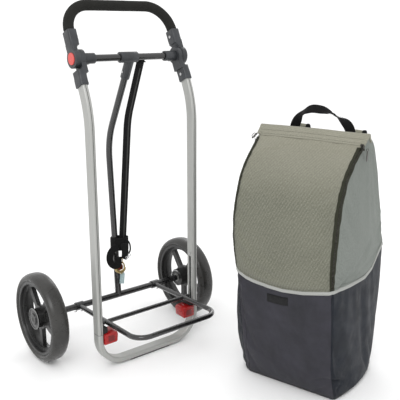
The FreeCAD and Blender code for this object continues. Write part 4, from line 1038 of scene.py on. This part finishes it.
def carry_handle():
    """Webbing handle that turns over between its feet."""
    points = np.array([(x, -2.0 + 3.0 * math.sin(k / 14 * math.pi), z)
                       for k, (x, z) in enumerate(HANDLE_LINE)]) / 1000
    data = np.hstack([points, np.radians(HANDLE_TURNS)[:, None] / 20])
    line = spline(data, 110)
    turns = line[:, 3] * 20
    line = line[:, :3]
    ahead = headings(line)
    flat = unit(np.cross(ahead, VIEW))
    side = flat * np.cos(turns)[:, None] + VIEW * np.sin(turns)[:, None]
    outline = rounded_box(0.0245, 0.0017, 0.0007, 3)
    made = sweep("carry_webbing", to_frame(line), outline, side @ BAG_TURN.T, "handle_webbing")
    stand_for(made, "bag", "webbing", "carry_handle")
    for k, edge in enumerate((-0.0095, 0.0095)):
        over = np.cross(ahead, side)
        for face in (-1, 1):
            track = line + side * edge + over * face * 0.00085
            stitches(f"carry_stitches_{k}_{'front' if face < 0 else 'back'}", to_frame(track[2:-2]),
                     over[2:-2] * face @ BAG_TURN.T, 0.006, 0.004, paint="webbing", near=0.0)


def hanging_tabs():
    """Two cloth tabs, edged with black webbing, that stand up behind the top of the bag."""
    for name, left, right, rise in (("left", -0.095, -0.064, 0.0075), ("right", 0.054, 0.092, 0.0045)):
        path = local_line([(0.0635, 0.556), (0.0615, 0.580), (0.0580, 0.610), (0.0550, 0.636),
                           (0.0562, 0.6475),
                           (0.0600, 0.6500), (0.0640, 0.6455), (0.0650, 0.630), (0.0650, 0.600),
                           (0.0660, 0.566)], 48)
        path = path + np.array([0, rise])
        ahead = unit(np.gradient(path, axis=0))
        out = np.stack([-ahead[:, 1], ahead[:, 0]], 1)
        edge = 0.0075
        layers = (("cloth", left, right, 0.0011, "upper_fabric"),
                  ("webbing", right - 0.002, right + edge, 0.0018, "webbing"))
        for layer_name, start, end, thick, paint in layers:
            ring = np.vstack([path + out * thick, (path - out * thick)[::-1]])
            rows = []
            for share in (0.0, 0.08, 0.5, 0.92, 1.0):
                sag = 0.0012 * math.sin(share * math.pi)
                wide = start + (end - start) * share
                drop = 0.003 if layer_name == "webbing" and share > 0.95 else 0.0
                rows.append([(wide, y, z + sag - drop) for y, z in ring])
            made = layer(f"hanging_tab_{name}_{layer_name}", rows, paint, 1.0)
            stand_for(made, "bag", "webbing", *(("hanging_tabs",) if paint == "upper_fabric" else ()))


def label():
    """Small blank woven label sewn below the piping."""
    centre = 22
    row = int(np.argmin(abs(bag_heights[:ROWS_LOW, centre] - 0.258)))
    width, height = 0.058, 0.022
    rows = []
    columns = range(centre - 9, centre + 8)
    tilt = math.tan(math.radians(2.0))
    for k, column in enumerate(columns):
        aside = bag_shape[row, column, 0] - bag_shape[row, centre, 0]
        offsets = np.array([-0.5, -0.46, 0.0, 0.46, 0.5, 0.4, -0.4]) * height + aside * tilt
        lift = np.array([0.0005, 0.0015, 0.0013, 0.0015, 0.0005, -0.0004, -0.0004])
        rows.append(column_strip(column, row, offsets, lift))
    rows = np.array(rows)
    spots = rows[:, 2, 0]
    even = np.linspace(rows[8, 2, 0] - width / 2, rows[8, 2, 0] + width / 2, 25)
    rows = np.array([[[np.interp(spot, spots, rows[:, k, axis]) for axis in range(3)] for k in range(7)]
                     for spot in even])
    rows[:, :, 0] = even[:, None]
    stand_for(layer("label_patch_cloth", rows, "label_fabric", 1.0), "bag", "label_fabric", "label_patch")
    for name, k in (("low", 1), ("high", 3)):
        stitches(f"label_stitches_{name}", to_frame(rows[1:-1, k]),
                 np.broadcast_to(BAG_TURN @ np.array([0, -1, 0]), (23, 3)), 0.003, 0.002, paint="webbing",
                 near=0.0)


def block(name, profile, half, place, paint, bevel=0.0006):
    """Rounded solid: a closed profile in (x, z) pushed out both ways along y, then placed."""
    profile = np.asarray(profile, float)
    count = len(profile)
    rows = [(half - bevel, 1.0), (half, 0.93)]
    vertices = []
    centre = profile.mean(0)
    for away, share in [(-half, 0.93), (-half + bevel, 1.0), (half - bevel, 1.0), (half, 0.93)]:
        for x, z in centre + (profile - centre) * share:
            vertices.append((x, away, z))
    faces = [tuple(range(count))]
    for row in range(len(rows) + 1):
        for k in range(count):
            after = (k + 1) % count
            faces.append((row * count + k, row * count + after, (row + 1) * count + after,
                          (row + 1) * count + k))
    faces.append(tuple(3 * count + k for k in range(count))[::-1])
    vertices = [place @ Vector(v) for v in vertices]
    made = piece(name, vertices, faces, paint)
    merge(made, 1e-6)
    crisp(made, 40.0)
    return made


def pulls():
    """Zip pulls: a tapered metal tongue that hangs on a small ring."""
    tongue = [(-0.0020, 0.0115), (0.0020, 0.0115), (0.0026, 0.0020), (0.0040, -0.0080), (0.0032, -0.0128),
              (-0.0032, -0.0128), (-0.0040, -0.0080), (-0.0026, 0.0020)]
    for side, sign in SIDES:
        place = BAG_PLACE @ Matrix.Translation((sign * 0.1510, -0.0570, 0.6165))
        # Painted glint: the left pull and its ring take bright steel for the light the edge-on pull catches;
        # the right pair keeps the zip's gunmetal.
        paint = "bright_steel" if sign < 0 else "zip_metal"
        made = block(f"pull_tongue_{side}", tongue, 0.0008,
                     place @ Matrix.Rotation(math.radians(90), 4, "Z"), paint)
        stand_for(made, f"pull_{side}", "zip_metal", f"zip_pull_{side}")
        eye = place @ Vector((0, 0, 0.0135))
        hoop(f"pull_ring_{side}", eye, 0.0030, 0.0006, BAG_PLACE.to_3x3() @ Y, paint, f"pull_{side}", 1.0,
             "zip_metal")


def sliders():
    """Zip sliders with a waisted body and a bridge."""
    for side, sign in SIDES:
        body = BAG_PLACE @ Matrix.Translation((sign * 0.1425, -0.0690, 0.6345))
        tip = Matrix.Rotation(math.radians(-44), 4, "X")
        turn = Matrix.Rotation(math.radians(sign * 45), 4, "Z")
        place = body @ turn @ tip
        waist = [(-0.0050, 0.0075), (-0.0030, 0.0090), (0.0030, 0.0090), (0.0050, 0.0075), (0.0046, 0.0020),
                 (0.0034, -0.0030), (0.0034, -0.0075), (0.0022, -0.0090), (-0.0022, -0.0090),
                 (-0.0034, -0.0075),
                 (-0.0034, -0.0030), (-0.0046, 0.0020)]
        plate = place @ Matrix.Translation((0, -0.0048, 0))
        made = block(f"slider_body_{side}", waist, 0.0013, plate, "zip_metal")
        stand_for(made, f"slider_{side}", "zip_metal", f"zip_slider_{side}")
        bridge = [(-0.0065, 0.006), (-0.0100, 0.0045), (-0.0105, 0.0), (-0.0100, -0.0045),
                  (-0.0065, -0.006)]
        line = np.array([place @ Vector((0, y, z)) for y, z in bridge])
        across = place.to_3x3() @ X
        made = sweep(f"slider_bridge_{side}", spline(line, 18), rounded_box(0.0028, 0.0012, 0.0004, 2),
                     across,
                     "zip_metal")
        stand_for(made, f"slider_{side}", "zip_metal")


hem()
zip_stitches()
corner_piping()
seam_stitches("piping_stitches", ROWS_LOW + 2, 0.0006, 0, COLUMNS)
seam_stitches("base_stitches", 3, 0.0006, 0, COLUMNS)
carry_handle()
hanging_tabs()
label()
sliders()


# ---------------------------------------------------------------- cart: handle, strut and strap

LEAN = math.radians(24)
PIVOT_BACK, PIVOT_UP = 0.0553, 0.8286


def lean(across, along, behind=0.0):
    """Point of the leaning upper frame: across it, up along it, and behind it, all in metres."""
    return np.array([across, PIVOT_BACK + along * math.sin(LEAN) + behind * math.cos(LEAN),
                     PIVOT_UP + along * math.cos(LEAN) - behind * math.sin(LEAN)])


def foam_grip():
    """Foam sleeve over the handle's U, slightly uneven, with rolled ends."""
    half, rise, foot = 0.159, 0.143, 0.072
    line = bent([lean(-half, foot), lean(-half, rise), lean(half, rise), lean(half, foot)], 0.070, 0.004)
    way = lengths(line)
    even = np.unique(np.concatenate([np.arange(0, 0.006, 0.0006), np.arange(0.006, way[-1] - 0.006, 0.004),
                                     np.arange(way[-1] - 0.006, way[-1] + 0.0006, 0.0006)]))
    even = even[even <= way[-1]]
    line = np.stack([np.interp(even, way, line[:, k]) for k in range(3)], 1)
    end = np.minimum(even, way[-1] - even)
    size = 1.0 - 0.16 * np.clip(1 - end / 0.005, 0, 1) ** 2.2
    size += 0.006 * np.sin(even * 70) + 0.005 * np.sin(even * 173 + 1.3) + 0.003 * np.sin(even * 410)
    behind = np.array([0, math.cos(LEAN), -math.sin(LEAN)])
    made = sweep("foam_grip_soft", line, circle(0.0137, 36), behind, "grip_foam", scale=size)
    stand_for(made, "handle", "grip_foam", "foam_grip")


def luggage_strap():
    """Elastic strap from the crossbar down to the keeper on the strut, with its sewn loop."""
    line = bent([(0.038, 0.0626, 0.8209), (0.038, 0.136, 0.655), (0.020, 0.154, 0.296)], 0.160)
    made = sweep("luggage_strap_webbing", line, rounded_box(0.0245, 0.0026, 0.0010, 3), X, "webbing")
    stand_for(made, "axle_link", "webbing", "luggage_strap")
    ahead = headings(line)
    front = unit(np.cross(np.array(X), ahead))
    front = front * np.sign(-front[:, 1:2])
    # A lighter narrow line along the front of the strap, just right of its middle.
    stripe = sweep("luggage_strap_stripe", line[1:] + front[1:] * 0.0013 + np.array([0.003, 0, 0]),
                   rounded_box(0.0038, 0.0006, 0.0002, 2), X, "strap_stripe")
    stand_for(stripe, "axle_link", "webbing")
    turns = np.radians(np.linspace(150, 262, 40))
    loop = np.stack([np.full(40, 0.038), PIVOT_BACK - 0.0141 * np.cos(turns),
                     PIVOT_UP + 0.0141 * np.sin(turns)], 1)
    made = sweep("luggage_strap_loop", loop, rounded_box(0.0245, 0.0024, 0.0009, 3), X, "webbing")
    stand_for(made, "axle_link", "webbing")
    for k, drop in enumerate((0.030, 0.036, 0.046, 0.052)):
        place = int(np.searchsorted(lengths(line), drop))
        across = np.array([line[place] + front[place] * 0.0014 + np.array([x, 0, 0]) for x in (-0.010, 0.0,
                                                                                               0.010)])
        stitches(f"loop_stitches_{k}", across, np.array([front[place]] * 3), 0.0016, 0.0013, "axle_link")


def oval(wide, deep, corner, turn, centre, count=10):
    """Rounded rectangle in a level plane, as a closed line."""
    flat = rounded_box(wide, deep, corner, count)
    cos, sin = math.cos(turn), math.sin(turn)
    return np.stack([centre[0] + flat[:, 0] * cos - flat[:, 1] * sin,
                     centre[1] + flat[:, 0] * sin + flat[:, 1] * cos,
                     np.full(len(flat), centre[2])], 1)


KEEPER = (0.012, 0.158, 0.285)
KEEPER_TURN = math.radians(-30.3)
SIGHT = (0.608, 0.7515, -0.25)


def facing_band(name, points, count, width, thick, paint, body):
    """Flat band along a curve, with its face toward the front left."""
    line = spline(points, count)
    side = np.cross(headings(line), np.array(SIGHT))
    made = sweep(name, line, rounded_box(width, thick, thick * 0.4, 3), side, paint)
    return stand_for(made, body, "webbing")


def keeper():
    """Hook-and-loop wrap that holds the strap to the strut, and the webbing that hangs from it."""
    ring = oval(0.0495, 0.0265, 0.0126, KEEPER_TURN, KEEPER)
    way = lengths(ring)
    ring[:, 2] += 0.0010 * np.sin(way / way[-1] * 4 * math.pi)
    made = sweep("keeper_wrap", ring, rounded_box(0.040, 0.0022, 0.0010, 3), Z, "fuzzy_wrap", closed=True)
    stand_for(made, "axle_link", "webbing", "strap_keeper")
    outer = oval(0.0535, 0.0305, 0.0145, KEEPER_TURN, KEEPER)
    flap = outer[26:43] + np.array([0, 0, -0.0006])
    made = sweep("keeper_flap", flap, rounded_box(0.036, 0.0018, 0.0008, 3), Z, "fuzzy_wrap")
    stand_for(made, "axle_link", "webbing")
    facing_band("keeper_tail", [(0.0100, 0.1325, 0.290), (0.0105, 0.1305, 0.276), (0.0105, 0.1300, 0.262),
                                (0.0100, 0.1310, 0.250), (0.0090, 0.1330, 0.243)], 30, 0.017, 0.0045,
                "fuzzy_wrap",
                "axle_link")
    facing_band("keeper_fold", [(0.0120, 0.1300, 0.286), (0.0150, 0.1275, 0.270), (0.0120, 0.1270, 0.256),
                                (0.0050, 0.1300, 0.246)], 30, 0.013, 0.0032, "webbing", "axle_link")
    facing_band("keeper_loop", [(-0.0080, 0.1370, 0.282), (-0.0200, 0.1430, 0.275),
                                (-0.0285, 0.1470, 0.260),
                                (-0.0295, 0.1475, 0.241), (-0.0230, 0.1430, 0.2275),
                                (-0.0130, 0.1370, 0.2255),
                                (-0.0085, 0.1350, 0.236), (-0.0100, 0.1350, 0.252)], 70, 0.0200, 0.0040,
                "webbing",
                "axle_link")
    thin = [(0.0190, 0.1330, 0.298), (0.0235, 0.1265, 0.294), (0.0255, 0.1225, 0.283),
            (0.0240, 0.1205, 0.270),
            (0.0190, 0.1215, 0.260)]
    facing_band("keeper_binding", thin, 50, 0.0046, 0.0022, "webbing", "axle_link")
    for k, (spot, turn) in enumerate((((0.0205, 0.1195, 0.2565), 0.5), ((0.0170, 0.1205, 0.2520), 1.6),
                                      ((0.0130, 0.1220, 0.2490), 0.4))):
        hoop(f"chain_link_{k}", spot, 0.0038, 0.0009, (math.sin(turn), math.cos(turn), 0.2), "bright_steel",
             "axle_link")


def hoop(name, centre, radius, wire, axis, paint, body, stretch=1.0, slot=None, *nodes):
    """Round wire ring, or a long link when stretched along the vertical."""
    axis = Vector(axis).normalized()
    first = (Z - axis * Z.dot(axis)).normalized()
    second = axis.cross(first)
    line = np.array([Vector(centre) + first * math.cos(t) * radius * stretch + second * math.sin(t) * radius
                     for t in np.linspace(0, 2 * math.pi, 44, endpoint=False)])
    made = sweep(name, line, circle(wire, 12), axis, paint, closed=True)
    merge(made)
    return stand_for(made, body, slot or paint, *nodes)


def hook():
    """Snap hook with its ring, swivel, gate and thumb knob, and the blank tag that hangs with it."""
    hoop("hook_ring_wire", (0.006, 0.147, 0.232), 0.0080, 0.0014, Y, "brass", "hook", 1.0, None,
         "hook_ring")
    top = Vector((0.0045, 0.1455, 0.2315))
    swivel = turned("hook_swivel", [(0.0, 0.0045), (0.0022, 0.0040), (0.0030, 0.0025), (0.0030, 0.0),
                                    (0.0040, -0.0005),
                                    (0.0044, -0.0020), (0.0034, -0.0035), (0.0, -0.0038)], top, Z, "brass",
                    32)
    stand_for(swivel, "hook", "brass")
    points = [(0.000, 0.0), (-0.0085, -0.0030), (-0.0135, -0.0110), (-0.0120, -0.0205), (-0.0020, -0.0262),
              (0.0085, -0.0230), (0.0118, -0.0165)]
    line = spline([(0.0035 + 1.2 * x, 0.1455 + 0.18 * z, 0.2305 + 1.12 * z) for x, z in points], 60)
    size = np.interp(np.linspace(0, 1, 60), [0, 0.1, 0.75, 1.0], [0.8, 1.1, 1.0, 0.62])
    made = sweep("hook_bow", line, rounded_box(0.0090, 0.0080, 0.0026, 4), Y, "brass", scale=size)
    stand_for(made, "hook", "brass", "snap_hook")
    gate = spline([(0.0035 + 1.2 * x, 0.1455 + 0.18 * z, 0.2305 + 1.12 * z) for x, z in
                   ((0.0015, -0.0005), (0.0075, -0.0040), (0.0105, -0.0100), (0.0102, -0.0172))], 30)
    stand_for(sweep("hook_gate", gate, rounded_box(0.0040, 0.0042, 0.0014, 3), Y, "brass"), "hook", "brass")
    plate = [(-0.0085, -0.0085), (-0.0060, 0.0020), (0.0060, 0.0035), (0.0088, -0.0040), (0.0070, -0.0120),
             (-0.0050, -0.0140)]
    inside = block("hook_cheek", plate, 0.0011, Matrix.Translation((0.0030, 0.1432, 0.2200)), "copper",
                   0.0003)
    stand_for(inside, "hook", "brass")
    knob = turned("hook_knob", [(0.0, 0.0042), (0.0015, 0.0040), (0.0019, 0.0030), (0.0013, 0.0020),
                                (0.0013, 0.0)],
                  (0.0140, 0.1435, 0.2180), X, "brass", 24)
    stand_for(knob, "hook", "brass")
    outline = [(-0.0068, -0.0180), (-0.0068, 0.0120), (-0.0050, 0.0165), (0.0050, 0.0165), (0.0068, 0.0120),
               (0.0068, -0.0180), (0.0058, -0.0188), (-0.0058, -0.0188)]
    place = Matrix.Translation((0.0085, 0.1442, 0.1800)) @ Matrix.Rotation(math.radians(-22), 4, "Z")
    made = block("hook_tag_card", outline, 0.0008, place @ Matrix.Rotation(math.radians(6), 4, "Y"),
                 "tag_plastic",
                 0.0003)
    stand_for(made, "hook", "tag_plastic", "hook_tag")
    hoop("tag_ring", (0.0082, 0.1438, 0.1985), 0.0060, 0.0006, (0.3, 1, 0), "brass", "hook")


# ---------------------------------------------------------------- cart: wheels and small hardware

WHEEL_CENTRE = (0.250, 0.1555, 0.125)


def wheels():
    """Tyres with their beads and shoulders, and domed hub caps with a bright ring."""
    half = [(0.1056, 0.0205), (0.1066, 0.0222), (0.1086, 0.0238), (0.1108, 0.0246), (0.1119, 0.0240),
            (0.1125, 0.0246),
            (0.1146, 0.0242), (0.1168, 0.0231), (0.1186, 0.0216), (0.1196, 0.0205), (0.1201, 0.0203),
            (0.1206, 0.0194),
            (0.1222, 0.0170), (0.1236, 0.0136), (0.1245, 0.0095), (0.1249, 0.0050), (0.1250, 0.0)]
    outline = half + [(radius, -along) for radius, along in half[-2::-1]] + [(0.1055, -0.0180),
                                                                             (0.1055, 0.0180)]
    cap = [(0.0300, 0.0200), (0.0300, 0.0228), (0.0290, 0.0240), (0.0282, 0.0236), (0.0262, 0.0228),
           (0.0212, 0.0230),
           (0.0170, 0.0240), (0.0163, 0.0256), (0.0150, 0.0262), (0.0120, 0.0266), (0.0060, 0.0270),
           (0.0, 0.0271)]
    back = [(0.0, 0.0200)]
    ring = [(0.0284, 0.0236), (0.0287, 0.0247), (0.0294, 0.0248), (0.0301, 0.0238), (0.0301, 0.0230),
            (0.0284, 0.0232)]
    disc = [(0.0146, 0.0262), (0.0143, 0.0270), (0.0105, 0.0275), (0.0098, 0.0271), (0.0090, 0.0275),
            (0.0, 0.0279),
            (0.0, 0.0262)]
    for side, sign in SIDES:
        centre = (sign * WHEEL_CENTRE[0], *WHEEL_CENTRE[1:])
        body = f"wheel_{side}"
        made = turned(f"tyre_rubber_{side}", outline, centre, X * sign, "tyre", 160)
        stand_for(made, body, "tyre", f"tyre_{side}")
        made = turned(f"hub_cap_dome_{side}", back + cap, centre, X * sign, "cap_black", 96)
        stand_for(made, body, "wheel_plastic", f"hub_cap_{side}")
        made = turned(f"hub_cap_ring_{side}", ring, centre, X * sign, "cap_ring", 96)
        stand_for(made, body, "wheel_plastic")
        made = turned(f"hub_cap_disc_{side}", disc, centre, X * sign, "cap_disc", 64)
        stand_for(made, body, "wheel_plastic")


def screws():
    """Small pan-head screws that hold the shelf's rails by the axle."""
    head = [(0.0, 0.0030), (0.0024, 0.0028), (0.0042, 0.0018), (0.0048, 0.0), (0.0, 0.0)]
    spots = (("left_outer", (-0.1490, 0.1480, 0.1150)), ("left_inner", (-0.1350, 0.1360, 0.1185)),
             ("right_inner", (0.1300, 0.1360, 0.1185)))
    for name, spot in spots:
        made = turned(f"rail_screw_{name}", head, spot, (0, -0.45, -1), "bright_steel", 28)
        stand_for(made, "shelf", "black_steel")


def arms():
    """Tapered arms that run from each hinge ear into the socket on the leg or the handle.

    A row is the distance from the hinge, the middle's distance across, the width and the depth.
    """
    upper = [(0.0080, 0.1646, 0.0136, 0.0335), (0.0220, 0.1644, 0.0138, 0.0335),
             (0.0300, 0.1622, 0.0190, 0.0336),
             (0.0400, 0.1594, 0.0254, 0.0338), (0.0600, 0.1591, 0.0256, 0.0337),
             (0.0716, 0.1590, 0.0258, 0.0340),
             (0.0724, 0.1590, 0.0248, 0.0330)]
    lower = [(-0.0080, 0.1502, 0.0134, 0.0345), (-0.0240, 0.1503, 0.0134, 0.0345),
             (-0.0310, 0.1540, 0.0182, 0.0350),
             (-0.0400, 0.1596, 0.0222, 0.0356), (-0.0550, 0.1610, 0.0227, 0.0357),
             (-0.0712, 0.1610, 0.0230, 0.0360),
             (-0.0720, 0.1610, 0.0220, 0.0350)]
    for side, sign in SIDES:
        for kind, stations, body in (("upper", upper, "handle"), ("lower", lower, "frame")):
            rings = []
            for along, middle, wide, deep in stations:
                flat = rounded_box(wide, deep, 0.0055, 5)
                rings.append([lean(sign * middle + x, along, behind) for x, behind in flat])
            count = len(rings[0])
            faces = [(r * count + k, r * count + (k + 1) % count, (r + 1) * count + (k + 1) % count,
                      (r + 1) * count + k)
                     for r in range(len(rings) - 1) for k in range(count)]
            faces += [tuple(range(count)), tuple((len(rings) - 1) * count + k for k in range(count))]
            made = piece(f"{kind}_arm_{side}", np.concatenate(rings), faces, "black_plastic")
            merge(made)
            crisp(made, 40.0)
            stand_for(made, body, "black_plastic")


def leg_details():
    """Groove down each leg's narrow faces, joint above the bow, and a black strip painted as the shade inside
    each guide slot.
    """
    upper = [np.array([0, 0.0, 0.1065]), np.array([0, 0.0, 0.7044]), lean(0, -0.055)]
    for side, sign in SIDES:
        for face, away in (("front", -0.01505), ("back", 0.01505)):
            radius = 0.250 - away
            points = [upper[0] + np.array([0, away, 0]),
                      upper[1] + np.array([0, away, -away * math.tan(LEAN / 2)]),
                      upper[2] + np.array([0, away * math.cos(LEAN), -away * math.sin(LEAN)])]
            line = bent(points, radius) + np.array([sign * 0.161, 0, 0])
            made = sweep(f"leg_groove_{side}_{face}", line, rounded_box(0.0013, 0.0005, 0.0002, 2), X,
                         "groove")
            stand_for(made, "frame", "leg_aluminium")
        ring = oval(0.0162, 0.0302, 0.0051, 0.0, (sign * 0.161, 0, 0.105), 6)
        made = sweep(f"leg_joint_{side}", ring, rounded_box(0.0009, 0.0005, 0.0002, 2), Z, "groove",
                     closed=True)
        stand_for(made, "frame", "leg_aluminium")
        # Painted shade: a black strip inside the tube behind each guide slot.
        low, high = 0.1205, 0.2555
        line = np.array([(sign * 0.1553, 0, z) for z in np.linspace(low, high, 12)])
        made = sweep(f"slot_shade_strip_{side}", line, rounded_box(0.0012, 0.0076, 0.0004, 2), X, "cap_black")
        stand_for(made, "frame", "leg_aluminium")


def clips():
    """Red saddles on the inner faces of the legs, rounded on their free side."""
    for side, sign in SIDES:
        outline = [(0, 0.0), (0, 0.0295), (0.0150, 0.0322), (0.0270, 0.0330)]
        outline += [(0.0310 + 0.0100 * math.sin(t), 0.0228 + 0.0100 * math.cos(t))
                    for t in np.linspace(0.3, 1.57, 8)]
        outline += [(0.0345 + 0.005 * math.cos(t), 0.005 - 0.005 * math.sin(t)) for t in np.linspace(0,
                                                                                                     1.57,
                                                                                                     6)]
        place = Matrix(((-sign, 0, 0, sign * 0.1530), (0, 1, 0, 0), (0, 0, 1, 0.0752), (0, 0, 0, 1)))
        pad = block(f"clip_pad_{side}", [(0, 0.0302), (0, 0.0462), (0.0130, 0.0462), (0.0130, 0.0322)],
                    0.0140, place,
                    "dark_rubber", 0.0012)
        stand_for(pad, "frame", "dark_rubber", *(("clip_pads",) if sign < 0 else ()))
        made = block(f"clip_saddle_{side}", outline, 0.0200, place, "red_clip", 0.0016)
        stand_for(made, "frame", "red_clip", *(("shelf_clips",) if sign < 0 else ()))
        made = block(f"clip_pocket_{side}", [(0.010, 0.006), (0.010, 0.024), (0.026, 0.024), (0.031, 0.018),
                                             (0.031, 0.006)], 0.0204, place, "clip_shade", 0.0006)
        stand_for(made, "frame", "red_clip")


# Edge rounding in metres for the trolley's own parts; what stands in for others is left out.
ROUNDED = {
    "leg_left": 0.0006, "leg_right": 0.0006, "lower_bow": 0.0006, "foot_strip": 0.0012,
           "crossbar_collars": 0.0012,
    "lower_socket_left": 0.0016, "lower_socket_right": 0.0016, "upper_socket_left": 0.0016,
    "upper_socket_right": 0.0016, "strut_sleeve": 0.0012,
    "button_left": 0.0014, "button_right": 0.0014, "leg_rivets": 0.0003, "rim_left": 0.0009,
           "rim_right": 0.0009,
    "lower_socket_screws": 0.0003, "collar_screws": 0.0003, "upper_socket_screws": 0.0003,
           "strut_rivets": 0.0004,
    "handle_tube": 0.0004, "wheel_bush_left": 0.0004, "wheel_bush_right": 0.0004, "axle_rod": 0.0005,
}


def round_edges():
    """Small rounded edges on the trolley's parts."""
    for name, radius in ROUNDED.items():
        made = NODES[name]
        weld = made.modifiers.new("join", "WELD")
        weld.merge_threshold = 0.00002
        edge = made.modifiers.new("rounded_edges", "BEVEL")
        edge.width = radius
        edge.segments = 2
        edge.limit_method = "ANGLE"
        edge.angle_limit = math.radians(38)
        edge.use_clamp_overlap = True
        edge.harden_normals = False


pulls()
foam_grip()
luggage_strap()
keeper()
hook()
wheels()
screws()
arms()
leg_details()
clips()
round_edges()


# ---------------------------------------------------------------- stage, light and camera

def stage():
    """Plain pale floor."""
    floor = Paint("floor_white", Roughness=0.9)
    cloud = floor.noise(floor.place(), 0.8, 2.0)
    floor.wear("Base Color", floor.ramp(cloud, (0.3, 0.93), (0.7, 0.96)))
    reach = 40.0
    made = piece("floor", [(-reach, -reach, -0.0006), (reach, -reach, -0.0006), (reach, reach, -0.0006),
                           (-reach, reach, -0.0006)], [(0, 1, 2, 3)], floor.material)


def lamp(name, place, aim, size, power, colour=(1, 1, 1)):
    """Square soft box that faces a point."""
    light = bpy.data.lights.new(name, "AREA")
    light.shape = "SQUARE"
    light.size = size
    light.energy = power
    light.color = colour
    made = bpy.data.objects.new(name, light)
    bpy.context.scene.collection.objects.link(made)
    made.location = place
    made.rotation_mode = "QUATERNION"
    made.rotation_quaternion = (Vector(aim) - Vector(place)).to_track_quat("-Z", "Y")


def camera():
    """Camera of the product view."""
    lens = bpy.data.cameras.new("camera")
    lens.sensor_width = 36.0
    lens.lens = 58.77
    lens.clip_start, lens.clip_end = 0.05, 60.0
    made = bpy.data.objects.new("camera", lens)
    bpy.context.scene.collection.objects.link(made)
    azimuth, drop = math.radians(-38.97), math.radians(14.84)
    made.location = (-0.9611, -1.4242, 0.9049)
    back = Vector((math.sin(azimuth) * math.cos(drop), -math.cos(azimuth) * math.cos(drop), math.sin(drop)))
    made.rotation_mode = "QUATERNION"
    made.rotation_quaternion = (-back).to_track_quat("-Z", "Y")
    bpy.context.scene.camera = made


def sky(strength):
    world = bpy.data.worlds.new("studio")
    bpy.context.scene.world = world
    world.use_nodes = True
    background = world.node_tree.nodes["Background"]
    background.inputs["Color"].default_value = (1, 1, 1, 1)
    background.inputs["Strength"].default_value = strength


stage()
camera()
sky(1.15)
lamp("key", (-1.6, -1.6, 2.4), (0.1, -0.1, 0.4), 1.4, 26)
lamp("rim", (2.2, 1.6, 1.8), (0.1, -0.1, 0.4), 1.2, 10)
bpy.context.scene.view_settings.view_transform = "Standard"
